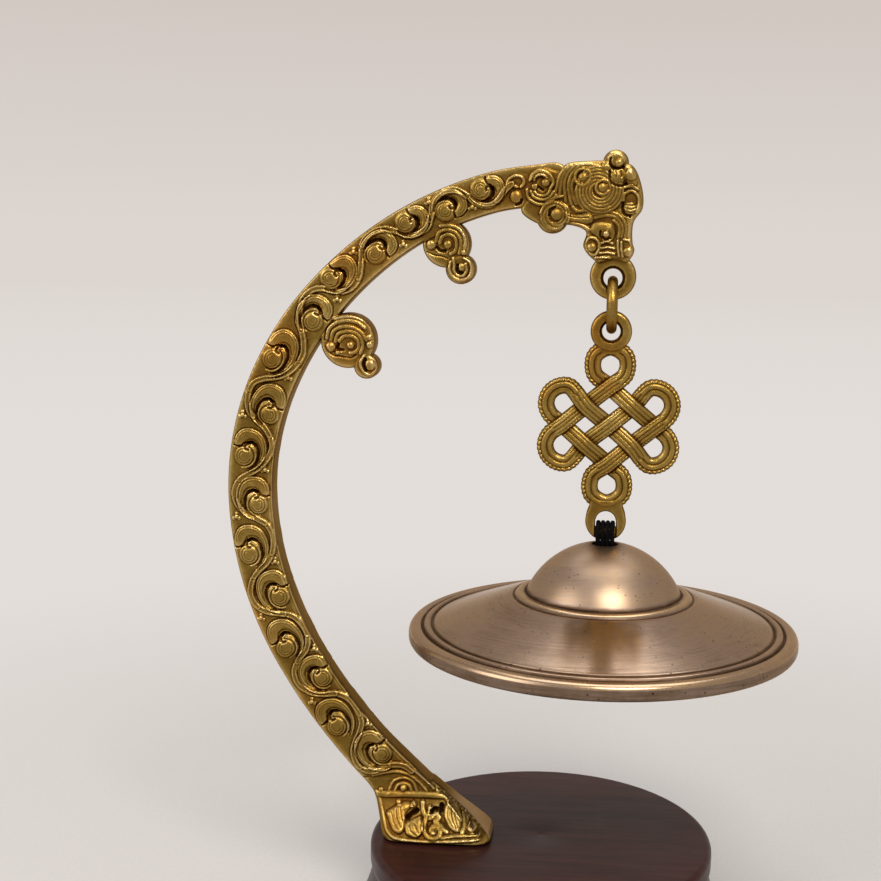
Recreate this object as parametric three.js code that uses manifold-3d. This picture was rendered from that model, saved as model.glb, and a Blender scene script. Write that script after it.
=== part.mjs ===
// Table gong: a bronze gong hangs by a cord, a cast endless knot and a ring from the eye of a
// brass crescent arm, and the arm is screwed to a turned wooden base.
// Millimetres, +Z up. The origin is the centre of the felt pad's underside. The arm, the ring's
// centre and the knot lie in the plane y = 0, and the front of the gong looks along -Y.
import * as THREE from 'three';
import { mergeVertices } from 'three/addons/utils/BufferGeometryUtils.js';
import Module from 'manifold-3d';

const wasm = await Module();
wasm.setup();

// Clearance between pieces that touch
const GAP = 0.3;

// Base and felt
const FELT_THICKNESS = 1;
const FELT_RADIUS = 46;
const BASE_HEIGHT = 23.7;
const BASE_TOP_RADIUS = 45;
const BASE_PLINTH_RADIUS = 49.5;
const BASE_PLINTH_HEIGHT = 3.6;
const BASE_SLAB_HEIGHT = 6.9;
const BASE_GROOVE_DEPTH = 1;
const BASE_PLINTH_CHAMFER = 0.5;
const BASE_SKIRT_INSET = 1;
const BASE_SKIRT_HOLLOW = 0.3;
const BASE_EDGE_ROUND = 1.6;
const BASE_UNDER_ROUND = 2.6;

// Foot screws, driven from beneath into blind holes in the arm's foot
const SCREW_XS = [-34, -22];
const SCREW_RADIUS = 1.9;
const SCREW_HEAD_RADIUS = 3.8;
const SCREW_HEAD_HEIGHT = 2.5;
const SCREW_ENGAGEMENT = 5.5;
const SCREW_SOCKET_RADIUS = 1.8;
const SCREW_SOCKET_DEPTH = 1;
const SCREW_HEAD_DOME = 1.1;
const SCREW_TIP = 1;
const COUNTERBORE_DEPTH = 7;
const WASHER_RADIUS = 4.5;
const WASHER_THICKNESS = 0.8;

// Crescent arm: its centre line as x, height and half width. The lower half's heights are over the
// base's top, and the upper half's are over the crescent's middle.
const ARM_MIDDLE_HEIGHT = 76.9;
const ARM_LOWER_HALF = [
  [-29.5, 6, 6.2],
  [-37.4, 13.5, 6.3],
  [-47.8, 24.1, 6.1],
  [-60.2, 40.2, 6],
  [-69.9, 58, 6],
];
const ARM_UPPER_HALF = [
  [-75.6, 0, 5.9],
  [-76.8, 19.5, 5.9],
  [-72.8, 38.3, 5.9],
  [-63.9, 55.8, 5.7],
  [-50.8, 71.1, 5.3],
  [-34.6, 83.1, 5],
  [-16.2, 90.8, 5],
  [-0.8, 93.3, 5.2],
];
const ARM_THICKNESS = 6;
const ARM_EDGE_ROUND = 0.7;
const ARM_STEPS = 36;

// The two curls on the arm's inner side. Each grows from a point of the arm's line: the scroll's
// centre is given from that point, and the small ball scroll at its end from that centre.
const LOWER_CURL_ROOT = ARM_UPPER_HALF[3];
const UPPER_CURL_ROOT = ARM_UPPER_HALF[5];
const LOWER_CURL = {
  out: 12.2, up: -2.5, radius: 7, ballOut: 4.7, ballUp: -6.4, ballRadius: 3.2,
};
const UPPER_CURL = {
  out: 7.6, up: -5, radius: 6, ballOut: 3.6, ballUp: -6.2, ballRadius: 3.8,
};
const CURL_THICKNESS = 6.8;
const CURL_ROUND = 1;
const BALL_THICKNESS = 6.4;
const BALL_ROUND = 1.4;

// Scroll head: its top and its underside as x and height from the end of the arm's line
const HEAD_TOP = [
  [-2.7, 4],
  [1.4, 3.4],
  [3.4, 5],
  [8.8, 5.7],
  [14.8, 5.8],
  [19.4, 4.7],
  [21.8, -0.2],
  [22.2, -5.6],
];
const HEAD_UNDERSIDE = [
  [4.4, -10],
  [-0.2, -10.4],
  [-3.2, -10],
  [-7.8, -6.8],
  [-5.2, -2.2],
];

// Neck between the head and the eye, from the eye's centre
const NECK_OUTLINE = [
  [4.7, 13.8],
  [4.6, 8.8],
  [5.1, 6.8],
  [3.6, 4.2],
  [-0.2, 2.6],
  [-4.4, 4],
  [-7.6, 7.6],
  [-7, 11.2],
];
const HEAD_THICKNESS = 7.6;
const HEAD_LOBE = { out: 0, up: -8.3, radius: 3.9, thickness: 7.2, round: 1 };
const HEAD_KNOB = { out: 15.3, up: 5.3, radius: 3.2, thickness: 7.6, round: 1.6 };

// Foot of the arm: height over the base's top, left end, right end and half depth
const FOOT_LEVELS = [
  [0, -41.3, -12.8, 10.4],
  [1.2, -41.6, -12.8, 10.4],
  [2.6, -42, -14, 9.4],
  [5.4, -42.8, -16.8, 7.6],
  [9, -43.8, -22, 5.4],
  [9.2, -44.1, -21.8, 5.8],
  [11, -44.7, -24, 5],
  [11.2, -44.5, -24.4, 4.4],
  [15, -47.4, -29.2, 2.9],
];
const FOOT_SQUARENESS = 3.5;

// Eye of the arm, where the ring hangs: its place from the end of the arm's line, and its sizes
const EYE_OUT = 15.4;
const EYE_DROP = 22.8;
const EYE_PLAY = 1.05;
const EYE_WALL = 3;
const EYE_RAISE = 0.4;
const EYE_FLARE = 0.9;
const EYE_THICKNESS = 5.2;

// Hanging ring
const RING_WIRE_RADIUS = 1.35;
const RING_SPACE = 2.6;

// Endless knot: the weave's half pitches, the strand, and the loops from the knot's centre
const KNOT_PITCH_X = 5.9;
const KNOT_PITCH_Z = 4.95;
const STRAND_WIDTH = 4.2;
const STRAND_THICKNESS = 3;
const WEAVE_RISE = 0.45;
const LOOP_RADIUS = 4.55;
const SIDE_LOOP_X = 11.4;
const SIDE_LOOP_Z = 5.4;
const END_LOOP_Z = 15.4;
const STRAND_BEVEL = 0.8;

// Flat necks that join the end loops to the eyes, and how far they reach into both
const NECK_BOTTOM_HALF_WIDTH = 3.6;
const NECK_TOP_HALF_WIDTH = 4;
const NECK_REACH = 0.8;
const BAR_HALF_WIDTH = 4;
const BAR_HEIGHT = 1.9;
const BAR_REACH = 0.5;
const NECK_EDGE_ROUND = 0.4;

// Top eye of the knot, which the ring carries
const TOP_EYE_PLAY = 0.95;
const TOP_EYE_WALL = 3;
const TOP_EYE_FLARE = 0.6;
const TOP_EYE_THICKNESS = 4.4;
const TOP_EYE_EDGE_ROUND = 0.7;
const TOP_EYE_RISE = 8.5;

// Lower eye of the knot, which carries the cord
const LOWER_EYE_WALL = 2.6;
const LOWER_EYE_DROP = 9.1;

// Cord: a winding over the lower eye's wall and down through the gong
const CORD_RADIUS = 0.37;
const CORD_TURNS = 4;
const CORD_PITCH = 1.22;
const CORD_TOP_DROP = 0.613;
const CORD_WALL_CLEARANCE = 0.65;
const CORD_HOLE_HALF_DEPTH = 1.3;
const CORD_NECK_SPREAD = 0.5;
const CORD_TAIL = 1.2;
const CORD_SIDES = 6;
const STOPPER_RADIUS = 5.6;
const STOPPER_HEIGHT = 4.6;
const STOPPER_EDGE = 1;

// Gong: heights are over the plane of the outer rim groove
const GONG_RADIUS = 50;
const GONG_RIM_DROP = 4;
const GONG_WALL = 2;
const RIM_GROOVE_RADIUS = 46.5;
const INNER_GROOVE_RADIUS = 44;
const RIM_GROOVE_DEPTH = 0.5;
const GROOVE_HALF_WIDTH = 0.6;
const GROOVE_LIP = 0.4;
const RIM_EDGE_ROUND = 1.2;
const BRIM_TOP_RADIUS = 23.2;
const BRIM_TOP_HEIGHT = 7.8;
const BRIM_BEAD = 0.7;
const DOME_FOOT_RADIUS = 19.9;
const DOME_SPHERE_RADIUS = 21.8;
const DOME_APEX_HEIGHT = 21.6;
const KNOT_TO_DOME = 0.6;

// Places that follow from the sizes above
const baseBottom = FELT_THICKNESS + GAP;
const baseTop = baseBottom + BASE_HEIGHT;
const armMiddleZ = baseTop + ARM_MIDDLE_HEIGHT;
const armLine = [
  ...ARM_LOWER_HALF.map(([x, height, half]) => [x, baseTop + height, half]),
  ...ARM_UPPER_HALF.map(([x, height, half]) => [x, armMiddleZ + height, half]),
];
const [armEndX, armEndZ] = armLine.at(-1);
const eyeX = armEndX + EYE_OUT;
const eyeZ = armEndZ - EYE_DROP;
const eyeThroat = RING_WIRE_RADIUS + EYE_PLAY;
const topEyeThroat = RING_WIRE_RADIUS + TOP_EYE_PLAY;
const ringInnerRadius = (EYE_WALL + TOP_EYE_WALL + RING_SPACE) / 2 + GAP;
const ringRadius = ringInnerRadius + RING_WIRE_RADIUS;
const ringZ = eyeZ - (EYE_PLAY - GAP) - ringRadius;
const topEyeZ = ringZ - ringRadius - (TOP_EYE_PLAY - GAP);
const knotZ = topEyeZ - TOP_EYE_RISE - END_LOOP_Z;
const lowerEyeZ = knotZ - END_LOOP_Z - LOWER_EYE_DROP;
const cordHalfWidth = CORD_PITCH * (CORD_TURNS - 1) / 2;
const cordTopZ = lowerEyeZ - CORD_TOP_DROP;
const lowerEyeHoleRadius = Math.hypot(cordHalfWidth, CORD_TOP_DROP) + CORD_RADIUS + GAP;
const cordArcRadius = LOWER_EYE_WALL / 2 + CORD_WALL_CLEARANCE + CORD_RADIUS;
const cordArcZ = cordTopZ - cordArcRadius;
const apexZ = lowerEyeZ - lowerEyeHoleRadius - LOWER_EYE_WALL - KNOT_TO_DOME;
const gongZ = apexZ - DOME_APEX_HEIGHT;
const domeCentreZ = DOME_APEX_HEIGHT - DOME_SPHERE_RADIUS;
const cordNeckHalfDepth = CORD_HOLE_HALF_DEPTH + CORD_NECK_SPREAD;
const domeHoleRadius = Math.hypot(cordHalfWidth, cordNeckHalfDepth) + CORD_RADIUS + GAP;

// Materials
function material(color, roughness, metalness) {
  return new THREE.MeshStandardMaterial({ color, roughness, metalness });
}
const stainedWood = () => material(0x3d1f1a, 0.3, 0);
const felt = () => material(0x1f2a22, 0.95, 0);
const castBrass = () => material(0xa5823a, 0.4, 1);
const agedBrass = () => material(0x94783f, 0.42, 1);
const ringBrass = () => material(0xa8853a, 0.35, 1);
const bronze = () => material(0x9a7c58, 0.3, 1);
const steel = () => material(0xb5b5b5, 0.35, 1);
const blackCord = () => material(0x0c0c0d, 0.9, 0);

// Joining and cutting closed geometries
function toSolid(geometry) {
  const bare = geometry.clone();
  bare.deleteAttribute('normal');
  bare.deleteAttribute('uv');
  const merged = mergeVertices(bare, 1e-4);
  const solid = new wasm.Manifold(new wasm.Mesh({
    numProp: 3,
    vertProperties: new Float32Array(merged.attributes.position.array),
    triVerts: new Uint32Array(merged.index.array),
  }));
  return solid;
}

function toGeometry(solid) {
  const mesh = solid.getMesh();
  const geometry = new THREE.BufferGeometry();
  geometry.setAttribute('position', new THREE.BufferAttribute(mesh.vertProperties, 3));
  geometry.setIndex(new THREE.BufferAttribute(mesh.triVerts, 1));
  return geometry;
}

function join(geometries) {
  return geometries.map(toSolid).reduce((whole, solid) => whole.add(solid));
}

function cut(solid, geometries) {
  return geometries.map(toSolid).reduce((rest, tool) => rest.subtract(tool), solid);
}

// A closed ring of points revolved about the Y axis, always facing out
function turned(points, segments) {
  const profile = points.map(([radius, along]) => new THREE.Vector2(radius, along));
  const closed = points[0][0] < 1e-6 && points.at(-1)[0] < 1e-6;
  if (!closed) profile.push(profile[0].clone());
  const area = profile.reduce((sum, p, i) => {
    const q = profile[(i + 1) % profile.length];
    return sum + p.x * q.y - q.x * p.y;
  }, 0);
  if (area < 0) profile.reverse();
  return new THREE.LatheGeometry(profile, segments);
}

// The same, revolved about the vertical axis at x
function turnedUpright(points, segments, x = 0) {
  return turned(points, segments).rotateX(Math.PI / 2).translate(x, 0, 0);
}

// An outline of x and height, extruded to a thickness centred on y = 0, with rounded edges
function plate(points, thickness, round) {
  const shape = new THREE.Shape(points.map(([x, z]) => new THREE.Vector2(x, z)));
  const geometry = new THREE.ExtrudeGeometry(shape, {
    depth: thickness - 2 * round,
    bevelThickness: round,
    bevelSize: round,
    bevelOffset: -round,
    bevelSegments: 1,
  });
  return geometry.translate(0, 0, round - thickness / 2).rotateX(Math.PI / 2);
}

// A round plate with its axis along Y
function disc(x, z, radius, thickness, round, segments) {
  const half = thickness / 2;
  const profile = [
    [0, -half],
    [radius - round, -half],
    [radius, round - half],
    [radius, half - round],
    [radius - round, half],
    [0, half],
  ];
  return turned(profile, segments).translate(x, 0, z);
}

// The hole of an eye, narrowest in the middle and flared to both faces
function flaredHole(x, z, throat, flare, thickness) {
  const reach = thickness;
  const slope = flare / (thickness / 2);
  const profile = [
    [0, -reach],
    [throat + slope * reach, -reach],
    [throat, 0],
    [throat + slope * reach, reach],
    [0, reach],
  ];
  return turned(profile, 28).translate(x, 0, z);
}

// A solid through rings of points, with the same number in each ring
function lofted(rings) {
  const count = rings[0].length;
  const positions = rings.flat().flatMap((point) => [point.x, point.y, point.z]);
  const index = [];
  for (let r = 0; r < rings.length - 1; r += 1) {
    for (let i = 0; i < count; i += 1) {
      const a = r * count + i;
      const b = r * count + (i + 1) % count;
      index.push(a, b, b + count, a, b + count, a + count);
    }
  }
  const last = (rings.length - 1) * count;
  for (let i = 1; i < count - 1; i += 1) {
    index.push(0, i + 1, i);
    index.push(last, last + i, last + i + 1);
  }
  const geometry = new THREE.BufferGeometry();
  geometry.setAttribute('position', new THREE.Float32BufferAttribute(positions, 3));
  geometry.setIndex(index);
  return geometry;
}

function makeFelt() {
  const profile = [[0, 0], [FELT_RADIUS, 0], [FELT_RADIUS, FELT_THICKNESS], [0, FELT_THICKNESS]];
  return turnedUpright(profile, 48);
}

function makeBase() {
  const low = baseBottom;
  const grooveZ = baseTop - BASE_SLAB_HEIGHT;
  const shoulder = BASE_TOP_RADIUS;
  const waist = BASE_TOP_RADIUS - BASE_GROOVE_DEPTH;
  const skirt = BASE_PLINTH_RADIUS - BASE_SKIRT_INSET;
  const skirtFoot = low + BASE_PLINTH_HEIGHT;
  const profile = [
    [0, low],
    [BASE_PLINTH_RADIUS - BASE_PLINTH_CHAMFER, low],
    [BASE_PLINTH_RADIUS, low + BASE_PLINTH_CHAMFER],
    [BASE_PLINTH_RADIUS, skirtFoot - BASE_PLINTH_CHAMFER],
    [BASE_PLINTH_RADIUS - BASE_PLINTH_CHAMFER, skirtFoot],
  ];
  // Hollow curve of the skirt, from the plinth up to the waist
  const skirtSteps = 5;
  for (let i = 0; i <= skirtSteps; i += 1) {
    const t = i / skirtSteps;
    const radius = waist + (skirt - waist) * (1 - t) * (1 - BASE_SKIRT_HOLLOW * t);
    profile.push([radius, skirtFoot + (grooveZ - skirtFoot) * t]);
  }
  // Slab with a rounded lower and upper edge
  for (let i = 1; i <= 3; i += 1) {
    const turn = (i / 3) * Math.PI / 2;
    profile.push([
      shoulder - BASE_GROOVE_DEPTH * (1 - Math.sin(turn)),
      grooveZ + BASE_UNDER_ROUND * (1 - Math.cos(turn)),
    ]);
  }
  for (let i = 0; i <= 4; i += 1) {
    const turn = (i / 4) * Math.PI / 2;
    profile.push([
      shoulder - BASE_EDGE_ROUND * (1 - Math.cos(turn)),
      baseTop - BASE_EDGE_ROUND * (1 - Math.sin(turn)),
    ]);
  }
  profile.push([0, baseTop]);
  const holes = SCREW_XS.flatMap((x) => [
    turnedUpright([
      [0, low - 1],
      [WASHER_RADIUS + GAP, low - 1],
      [WASHER_RADIUS + GAP, low + COUNTERBORE_DEPTH],
      [0, low + COUNTERBORE_DEPTH],
    ], 24, x),
    turnedUpright([
      [0, low],
      [SCREW_RADIUS + GAP, low],
      [SCREW_RADIUS + GAP, baseTop + 1],
      [0, baseTop + 1],
    ], 16, x),
  ]);
  return toGeometry(cut(toSolid(turnedUpright(profile, 56)), holes));
}

function makeWasher(x) {
  const top = baseBottom + COUNTERBORE_DEPTH - GAP;
  const inner = SCREW_RADIUS + GAP;
  const profile = [
    [inner, top - WASHER_THICKNESS],
    [WASHER_RADIUS, top - WASHER_THICKNESS],
    [WASHER_RADIUS, top],
    [inner, top],
  ];
  return turnedUpright(profile, 24, x);
}

function makeScrew(x) {
  const seat = baseBottom + COUNTERBORE_DEPTH - 2 * GAP - WASHER_THICKNESS;
  const tip = baseTop + GAP + SCREW_ENGAGEMENT;
  const head = SCREW_HEAD_RADIUS;
  const low = seat - SCREW_HEAD_HEIGHT;
  const profile = [
    [0, low + SCREW_SOCKET_DEPTH],
    [SCREW_SOCKET_RADIUS, low + SCREW_SOCKET_DEPTH],
    [SCREW_SOCKET_RADIUS, low],
    [head - SCREW_HEAD_DOME, low],
    [head, low + SCREW_HEAD_DOME],
    [head, seat],
    [SCREW_RADIUS, seat],
    [SCREW_RADIUS, tip - SCREW_TIP],
    [SCREW_RADIUS - SCREW_TIP, tip],
    [0, tip],
  ];
  return turnedUpright(profile, 16, x);
}

// Both edges of the crescent, the outer one first
function crescentOutline() {
  const line = new THREE.CatmullRomCurve3(
    armLine.map(([x, z]) => new THREE.Vector3(x, 0, z)), false, 'centripetal');
  const widths = new THREE.CatmullRomCurve3(
    armLine.map(([, , half], i) => new THREE.Vector3(i, half, 0)), false, 'centripetal');
  const outer = [];
  const inner = [];
  for (let i = 0; i <= ARM_STEPS; i += 1) {
    const t = i / ARM_STEPS;
    const point = line.getPoint(t);
    const along = line.getTangent(t);
    const half = widths.getPoint(t).y;
    outer.push([point.x - along.z * half, point.z + along.x * half]);
    inner.push([point.x + along.z * half, point.z - along.x * half]);
  }
  return [...outer, ...inner.reverse()].reverse();
}

function headOutline() {
  const fromArmEnd = ([x, z]) => new THREE.Vector3(armEndX + x, 0, armEndZ + z);
  const fromEye = ([x, z]) => new THREE.Vector3(eyeX + x, 0, eyeZ + z);
  const points = [
    ...HEAD_TOP.map(fromArmEnd),
    ...NECK_OUTLINE.map(fromEye),
    ...HEAD_UNDERSIDE.map(fromArmEnd),
  ];
  const curve = new THREE.CatmullRomCurve3(points, true, 'centripetal');
  return curve.getPoints(48).slice(0, -1).map((point) => [point.x, point.z]).reverse();
}

function makeFoot() {
  const count = 28;
  const rings = FOOT_LEVELS.map(([height, left, right, halfDepth]) => {
    const middle = (left + right) / 2;
    const halfLength = (right - left) / 2;
    const z = baseTop + Math.max(height, GAP);
    return Array.from({ length: count }, (_, i) => {
      const turn = 2 * Math.PI * (i + 0.5) / count;
      const power = 2 / FOOT_SQUARENESS;
      const x = Math.sign(Math.cos(turn)) * Math.abs(Math.cos(turn)) ** power;
      const y = Math.sign(Math.sin(turn)) * Math.abs(Math.sin(turn)) ** power;
      return new THREE.Vector3(middle + halfLength * x, halfDepth * y, z);
    });
  });
  return lofted(rings);
}

function makeArm() {
  const solids = [
    plate(crescentOutline(), ARM_THICKNESS, ARM_EDGE_ROUND),
    plate(headOutline(), HEAD_THICKNESS, ARM_EDGE_ROUND),
    makeFoot(),
    disc(
      eyeX, eyeZ + EYE_RAISE, eyeThroat + EYE_WALL + EYE_RAISE, EYE_THICKNESS, ARM_EDGE_ROUND, 28),
  ];
  for (const { out, up, radius, thickness, round } of [HEAD_LOBE, HEAD_KNOB]) {
    solids.push(disc(armEndX + out, armEndZ + up, radius, thickness, round, 20));
  }
  for (const [root, curl] of [[LOWER_CURL_ROOT, LOWER_CURL], [UPPER_CURL_ROOT, UPPER_CURL]]) {
    const x = root[0] + curl.out;
    const z = armMiddleZ + root[1] + curl.up;
    solids.push(disc(x, z, curl.radius, CURL_THICKNESS, CURL_ROUND, 24));
    solids.push(disc(
      x + curl.ballOut, z + curl.ballUp, curl.ballRadius, BALL_THICKNESS, BALL_ROUND, 16));
  }
  const holes = SCREW_XS.map((x) => turnedUpright([
    [0, baseTop - 1],
    [SCREW_RADIUS + GAP, baseTop - 1],
    [SCREW_RADIUS + GAP, baseTop + 2 * GAP + SCREW_ENGAGEMENT],
    [0, baseTop + 2 * GAP + SCREW_ENGAGEMENT],
  ], 16, x));
  holes.push(flaredHole(eyeX, eyeZ, eyeThroat, EYE_FLARE, EYE_THICKNESS));
  return toGeometry(cut(join(solids), holes));
}

function makeRing() {
  const geometry = new THREE.TorusGeometry(ringRadius, RING_WIRE_RADIUS, 10, 32);
  return geometry.rotateY(Math.PI / 2).translate(eyeX, 0, ringZ);
}

// Points on one loop of the knot, from one angle to another, in degrees
function loopPoints(x, z, from, to) {
  return [0, 1, 2, 3, 4].map((i) => {
    const turn = THREE.MathUtils.degToRad(from + (to - from) * i / 4);
    return [x + LOOP_RADIUS * Math.cos(turn), z + LOOP_RADIUS * Math.sin(turn), 0];
  });
}

// The knot's one closed strand. Its crossings alternate between front and back. A crossing is
// given in half pitches with the side that the strand passes on, -1 for the front.
function strandPath() {
  const crossing = (i, j, side) => [i * KNOT_PITCH_X, j * KNOT_PITCH_Z, side * WEAVE_RISE];
  return [
    [crossing(0, 2, 1), crossing(1, 1, -1), crossing(2, 0, 1)],
    loopPoints(SIDE_LOOP_X, -SIDE_LOOP_Z, 40, -105),
    [crossing(1, -1, -1), crossing(0, 0, 1), crossing(-1, 1, -1)],
    loopPoints(-SIDE_LOOP_X, SIDE_LOOP_Z, 75, 220),
    [crossing(-2, 0, 1), crossing(-1, -1, -1), crossing(0, -2, 1)],
    loopPoints(0, -END_LOOP_Z, 30, -210),
    [crossing(0, -2, -1), crossing(1, -1, 1), crossing(2, 0, -1)],
    loopPoints(SIDE_LOOP_X, SIDE_LOOP_Z, -40, 105),
    [crossing(1, 1, 1), crossing(0, 0, -1), crossing(-1, -1, 1)],
    loopPoints(-SIDE_LOOP_X, -SIDE_LOOP_Z, -75, -220),
    [crossing(-2, 0, -1), crossing(-1, 1, 1), crossing(0, 2, -1)],
    loopPoints(0, END_LOOP_Z, -30, 210),
  ];
}

// One run of the strand as a solid of flattened six-sided section
function strandRun(curve, from, to, steps) {
  const wide = STRAND_WIDTH / 2;
  const thick = STRAND_THICKNESS / 2;
  const flat = wide - STRAND_BEVEL;
  const section = [
    [wide, 0],
    [flat, thick],
    [-flat, thick],
    [-wide, 0],
    [-flat, -thick],
    [flat, -thick],
  ];
  const rings = [];
  for (let i = 0; i <= steps; i += 1) {
    const t = (from + (to - from) * i / steps + 1) % 1;
    const point = curve.getPoint(t);
    const along = curve.getTangent(t);
    const across = new THREE.Vector3(along.z, 0, -along.x).normalize();
    rings.push(section.map(([a, b]) => new THREE.Vector3(
      eyeX + point.x + across.x * a, point.y + b, knotZ + point.z + across.z * a)));
  }
  return lofted(rings);
}

function makeKnot() {
  const runs = strandPath();
  const points = runs.flat().map(([x, z, y]) => new THREE.Vector3(x, y, z));
  const curve = new THREE.CatmullRomCurve3(points, true, 'centripetal');
  const count = points.length;
  const solids = [];
  let start = 0;
  for (const run of runs) {
    const isLoop = run.length > 3;
    const before = isLoop ? 1.02 : 0.05;
    const from = (start - before) / count;
    const to = (start + run.length - 1 + before) / count;
    solids.push(strandRun(curve, from, to, isLoop ? 12 : 4));
    start += run.length;
  }
  const topEyeRadius = topEyeThroat + TOP_EYE_WALL;
  const neckTop = topEyeZ - topEyeThroat - NECK_REACH;
  const neckBottom = knotZ + END_LOOP_Z + LOOP_RADIUS - NECK_REACH;
  solids.push(disc(
    eyeX, topEyeZ, topEyeRadius, TOP_EYE_THICKNESS, TOP_EYE_EDGE_ROUND, 28));
  solids.push(plate([
    [eyeX - NECK_BOTTOM_HALF_WIDTH, neckBottom],
    [eyeX + NECK_BOTTOM_HALF_WIDTH, neckBottom],
    [eyeX + NECK_TOP_HALF_WIDTH, neckTop],
    [eyeX - NECK_TOP_HALF_WIDTH, neckTop],
  ], STRAND_THICKNESS, NECK_EDGE_ROUND));
  const barBottom = knotZ - END_LOOP_Z - LOOP_RADIUS - STRAND_WIDTH / 2 - BAR_REACH;
  solids.push(lowerEye());
  solids.push(plate([
    [eyeX - BAR_HALF_WIDTH, barBottom],
    [eyeX + BAR_HALF_WIDTH, barBottom],
    [eyeX + BAR_HALF_WIDTH, barBottom + BAR_HEIGHT],
    [eyeX - BAR_HALF_WIDTH, barBottom + BAR_HEIGHT],
  ], STRAND_THICKNESS, NECK_EDGE_ROUND));
  const hole = flaredHole(eyeX, topEyeZ, topEyeThroat, TOP_EYE_FLARE, TOP_EYE_THICKNESS);
  return toGeometry(cut(join(solids), [hole]));
}

// The lower eye is a ring of round section, so that the cord can swing over its wall
function lowerEye() {
  const wire = LOWER_EYE_WALL / 2;
  const geometry = new THREE.TorusGeometry(lowerEyeHoleRadius + wire, wire, 8, 24);
  return geometry.rotateX(Math.PI / 2).translate(eyeX, 0, lowerEyeZ);
}

// The cord's centre line: front leg, over the top, back leg, and under to the next turn
function cordLine() {
  const points = [];
  const stopperBottom = stopperTop() - STOPPER_HEIGHT;
  const lowZ = stopperBottom - CORD_TAIL;
  const arcSteps = 8;
  for (let turn = 0; turn < CORD_TURNS; turn += 1) {
    const x = eyeX - cordHalfWidth + turn * CORD_PITCH;
    if (turn === 0) points.push([x, -CORD_HOLE_HALF_DEPTH, lowZ]);
    points.push([x, -CORD_HOLE_HALF_DEPTH, stopperTop()]);
    points.push([x, -cordNeckHalfDepth, apexZ]);
    for (let i = 0; i <= arcSteps; i += 1) {
      const angle = Math.PI * i / arcSteps;
      points.push([
        x,
        -cordArcRadius * Math.cos(angle),
        cordArcZ + cordArcRadius * Math.sin(angle),
      ]);
    }
    points.push([x, cordNeckHalfDepth, apexZ]);
    points.push([x, CORD_HOLE_HALF_DEPTH, stopperTop()]);
    if (turn < CORD_TURNS - 1) {
      for (let i = 0; i <= arcSteps; i += 1) {
        const angle = Math.PI * i / arcSteps;
        points.push([
          x + CORD_PITCH * i / arcSteps,
          CORD_HOLE_HALF_DEPTH * Math.cos(angle),
          lowZ - CORD_HOLE_HALF_DEPTH * Math.sin(angle),
        ]);
      }
    } else {
      points.push([x, CORD_HOLE_HALF_DEPTH, lowZ]);
    }
  }
  return points.map(([x, y, z]) => new THREE.Vector3(x, y, z));
}

// The winding as one unbroken tube. Its turns lie across X, so X serves to set up each ring.
function makeCord() {
  const line = cordLine();
  const rings = line.map((point, i) => {
    const along = line[Math.min(i + 1, line.length - 1)].clone().sub(line[Math.max(i - 1, 0)]);
    along.normalize();
    const side = new THREE.Vector3(1, 0, 0).addScaledVector(along, -along.x).normalize();
    const other = new THREE.Vector3().crossVectors(along, side);
    return Array.from({ length: CORD_SIDES }, (_, k) => {
      const turn = 2 * Math.PI * k / CORD_SIDES;
      return point.clone()
        .addScaledVector(side, CORD_RADIUS * Math.cos(turn))
        .addScaledVector(other, CORD_RADIUS * Math.sin(turn));
    });
  });
  return lofted(rings);
}

// The least distance between the cord's surfaces where it passes itself
function cordSelfGap() {
  const line = new THREE.CatmullRomCurve3(cordLine(), false, 'centripetal');
  const count = 500;
  const points = line.getSpacedPoints(count);
  const step = line.getLength() / count;
  const apart = Math.ceil(3 * CORD_PITCH / step);
  let least = Infinity;
  for (let i = 0; i < points.length; i += 1) {
    for (let j = i + apart; j < points.length; j += 1) {
      least = Math.min(least, points[i].distanceTo(points[j]));
    }
  }
  return least - 2 * CORD_RADIUS;
}

// The gong's inner dome surface over the rim groove's plane, at a radius
function domeInside(radius) {
  return domeCentreZ + Math.sqrt((DOME_SPHERE_RADIUS - GONG_WALL) ** 2 - radius ** 2);
}

function stopperTop() {
  return gongZ + domeInside(STOPPER_RADIUS) - GAP;
}

// The cord's tail lashed round its strands, as a thick ring that the strands pass through
function makeStopper() {
  const inner = Math.hypot(cordHalfWidth, CORD_HOLE_HALF_DEPTH) + CORD_RADIUS + GAP;
  const top = stopperTop();
  const low = top - STOPPER_HEIGHT;
  const profile = [
    [inner, low],
    [STOPPER_RADIUS - STOPPER_EDGE, low],
    [STOPPER_RADIUS, low + STOPPER_EDGE],
    [STOPPER_RADIUS, top - STOPPER_EDGE],
    [STOPPER_RADIUS - STOPPER_EDGE, top],
    [inner, top],
  ];
  return turnedUpright(profile, 24, eyeX);
}

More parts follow.
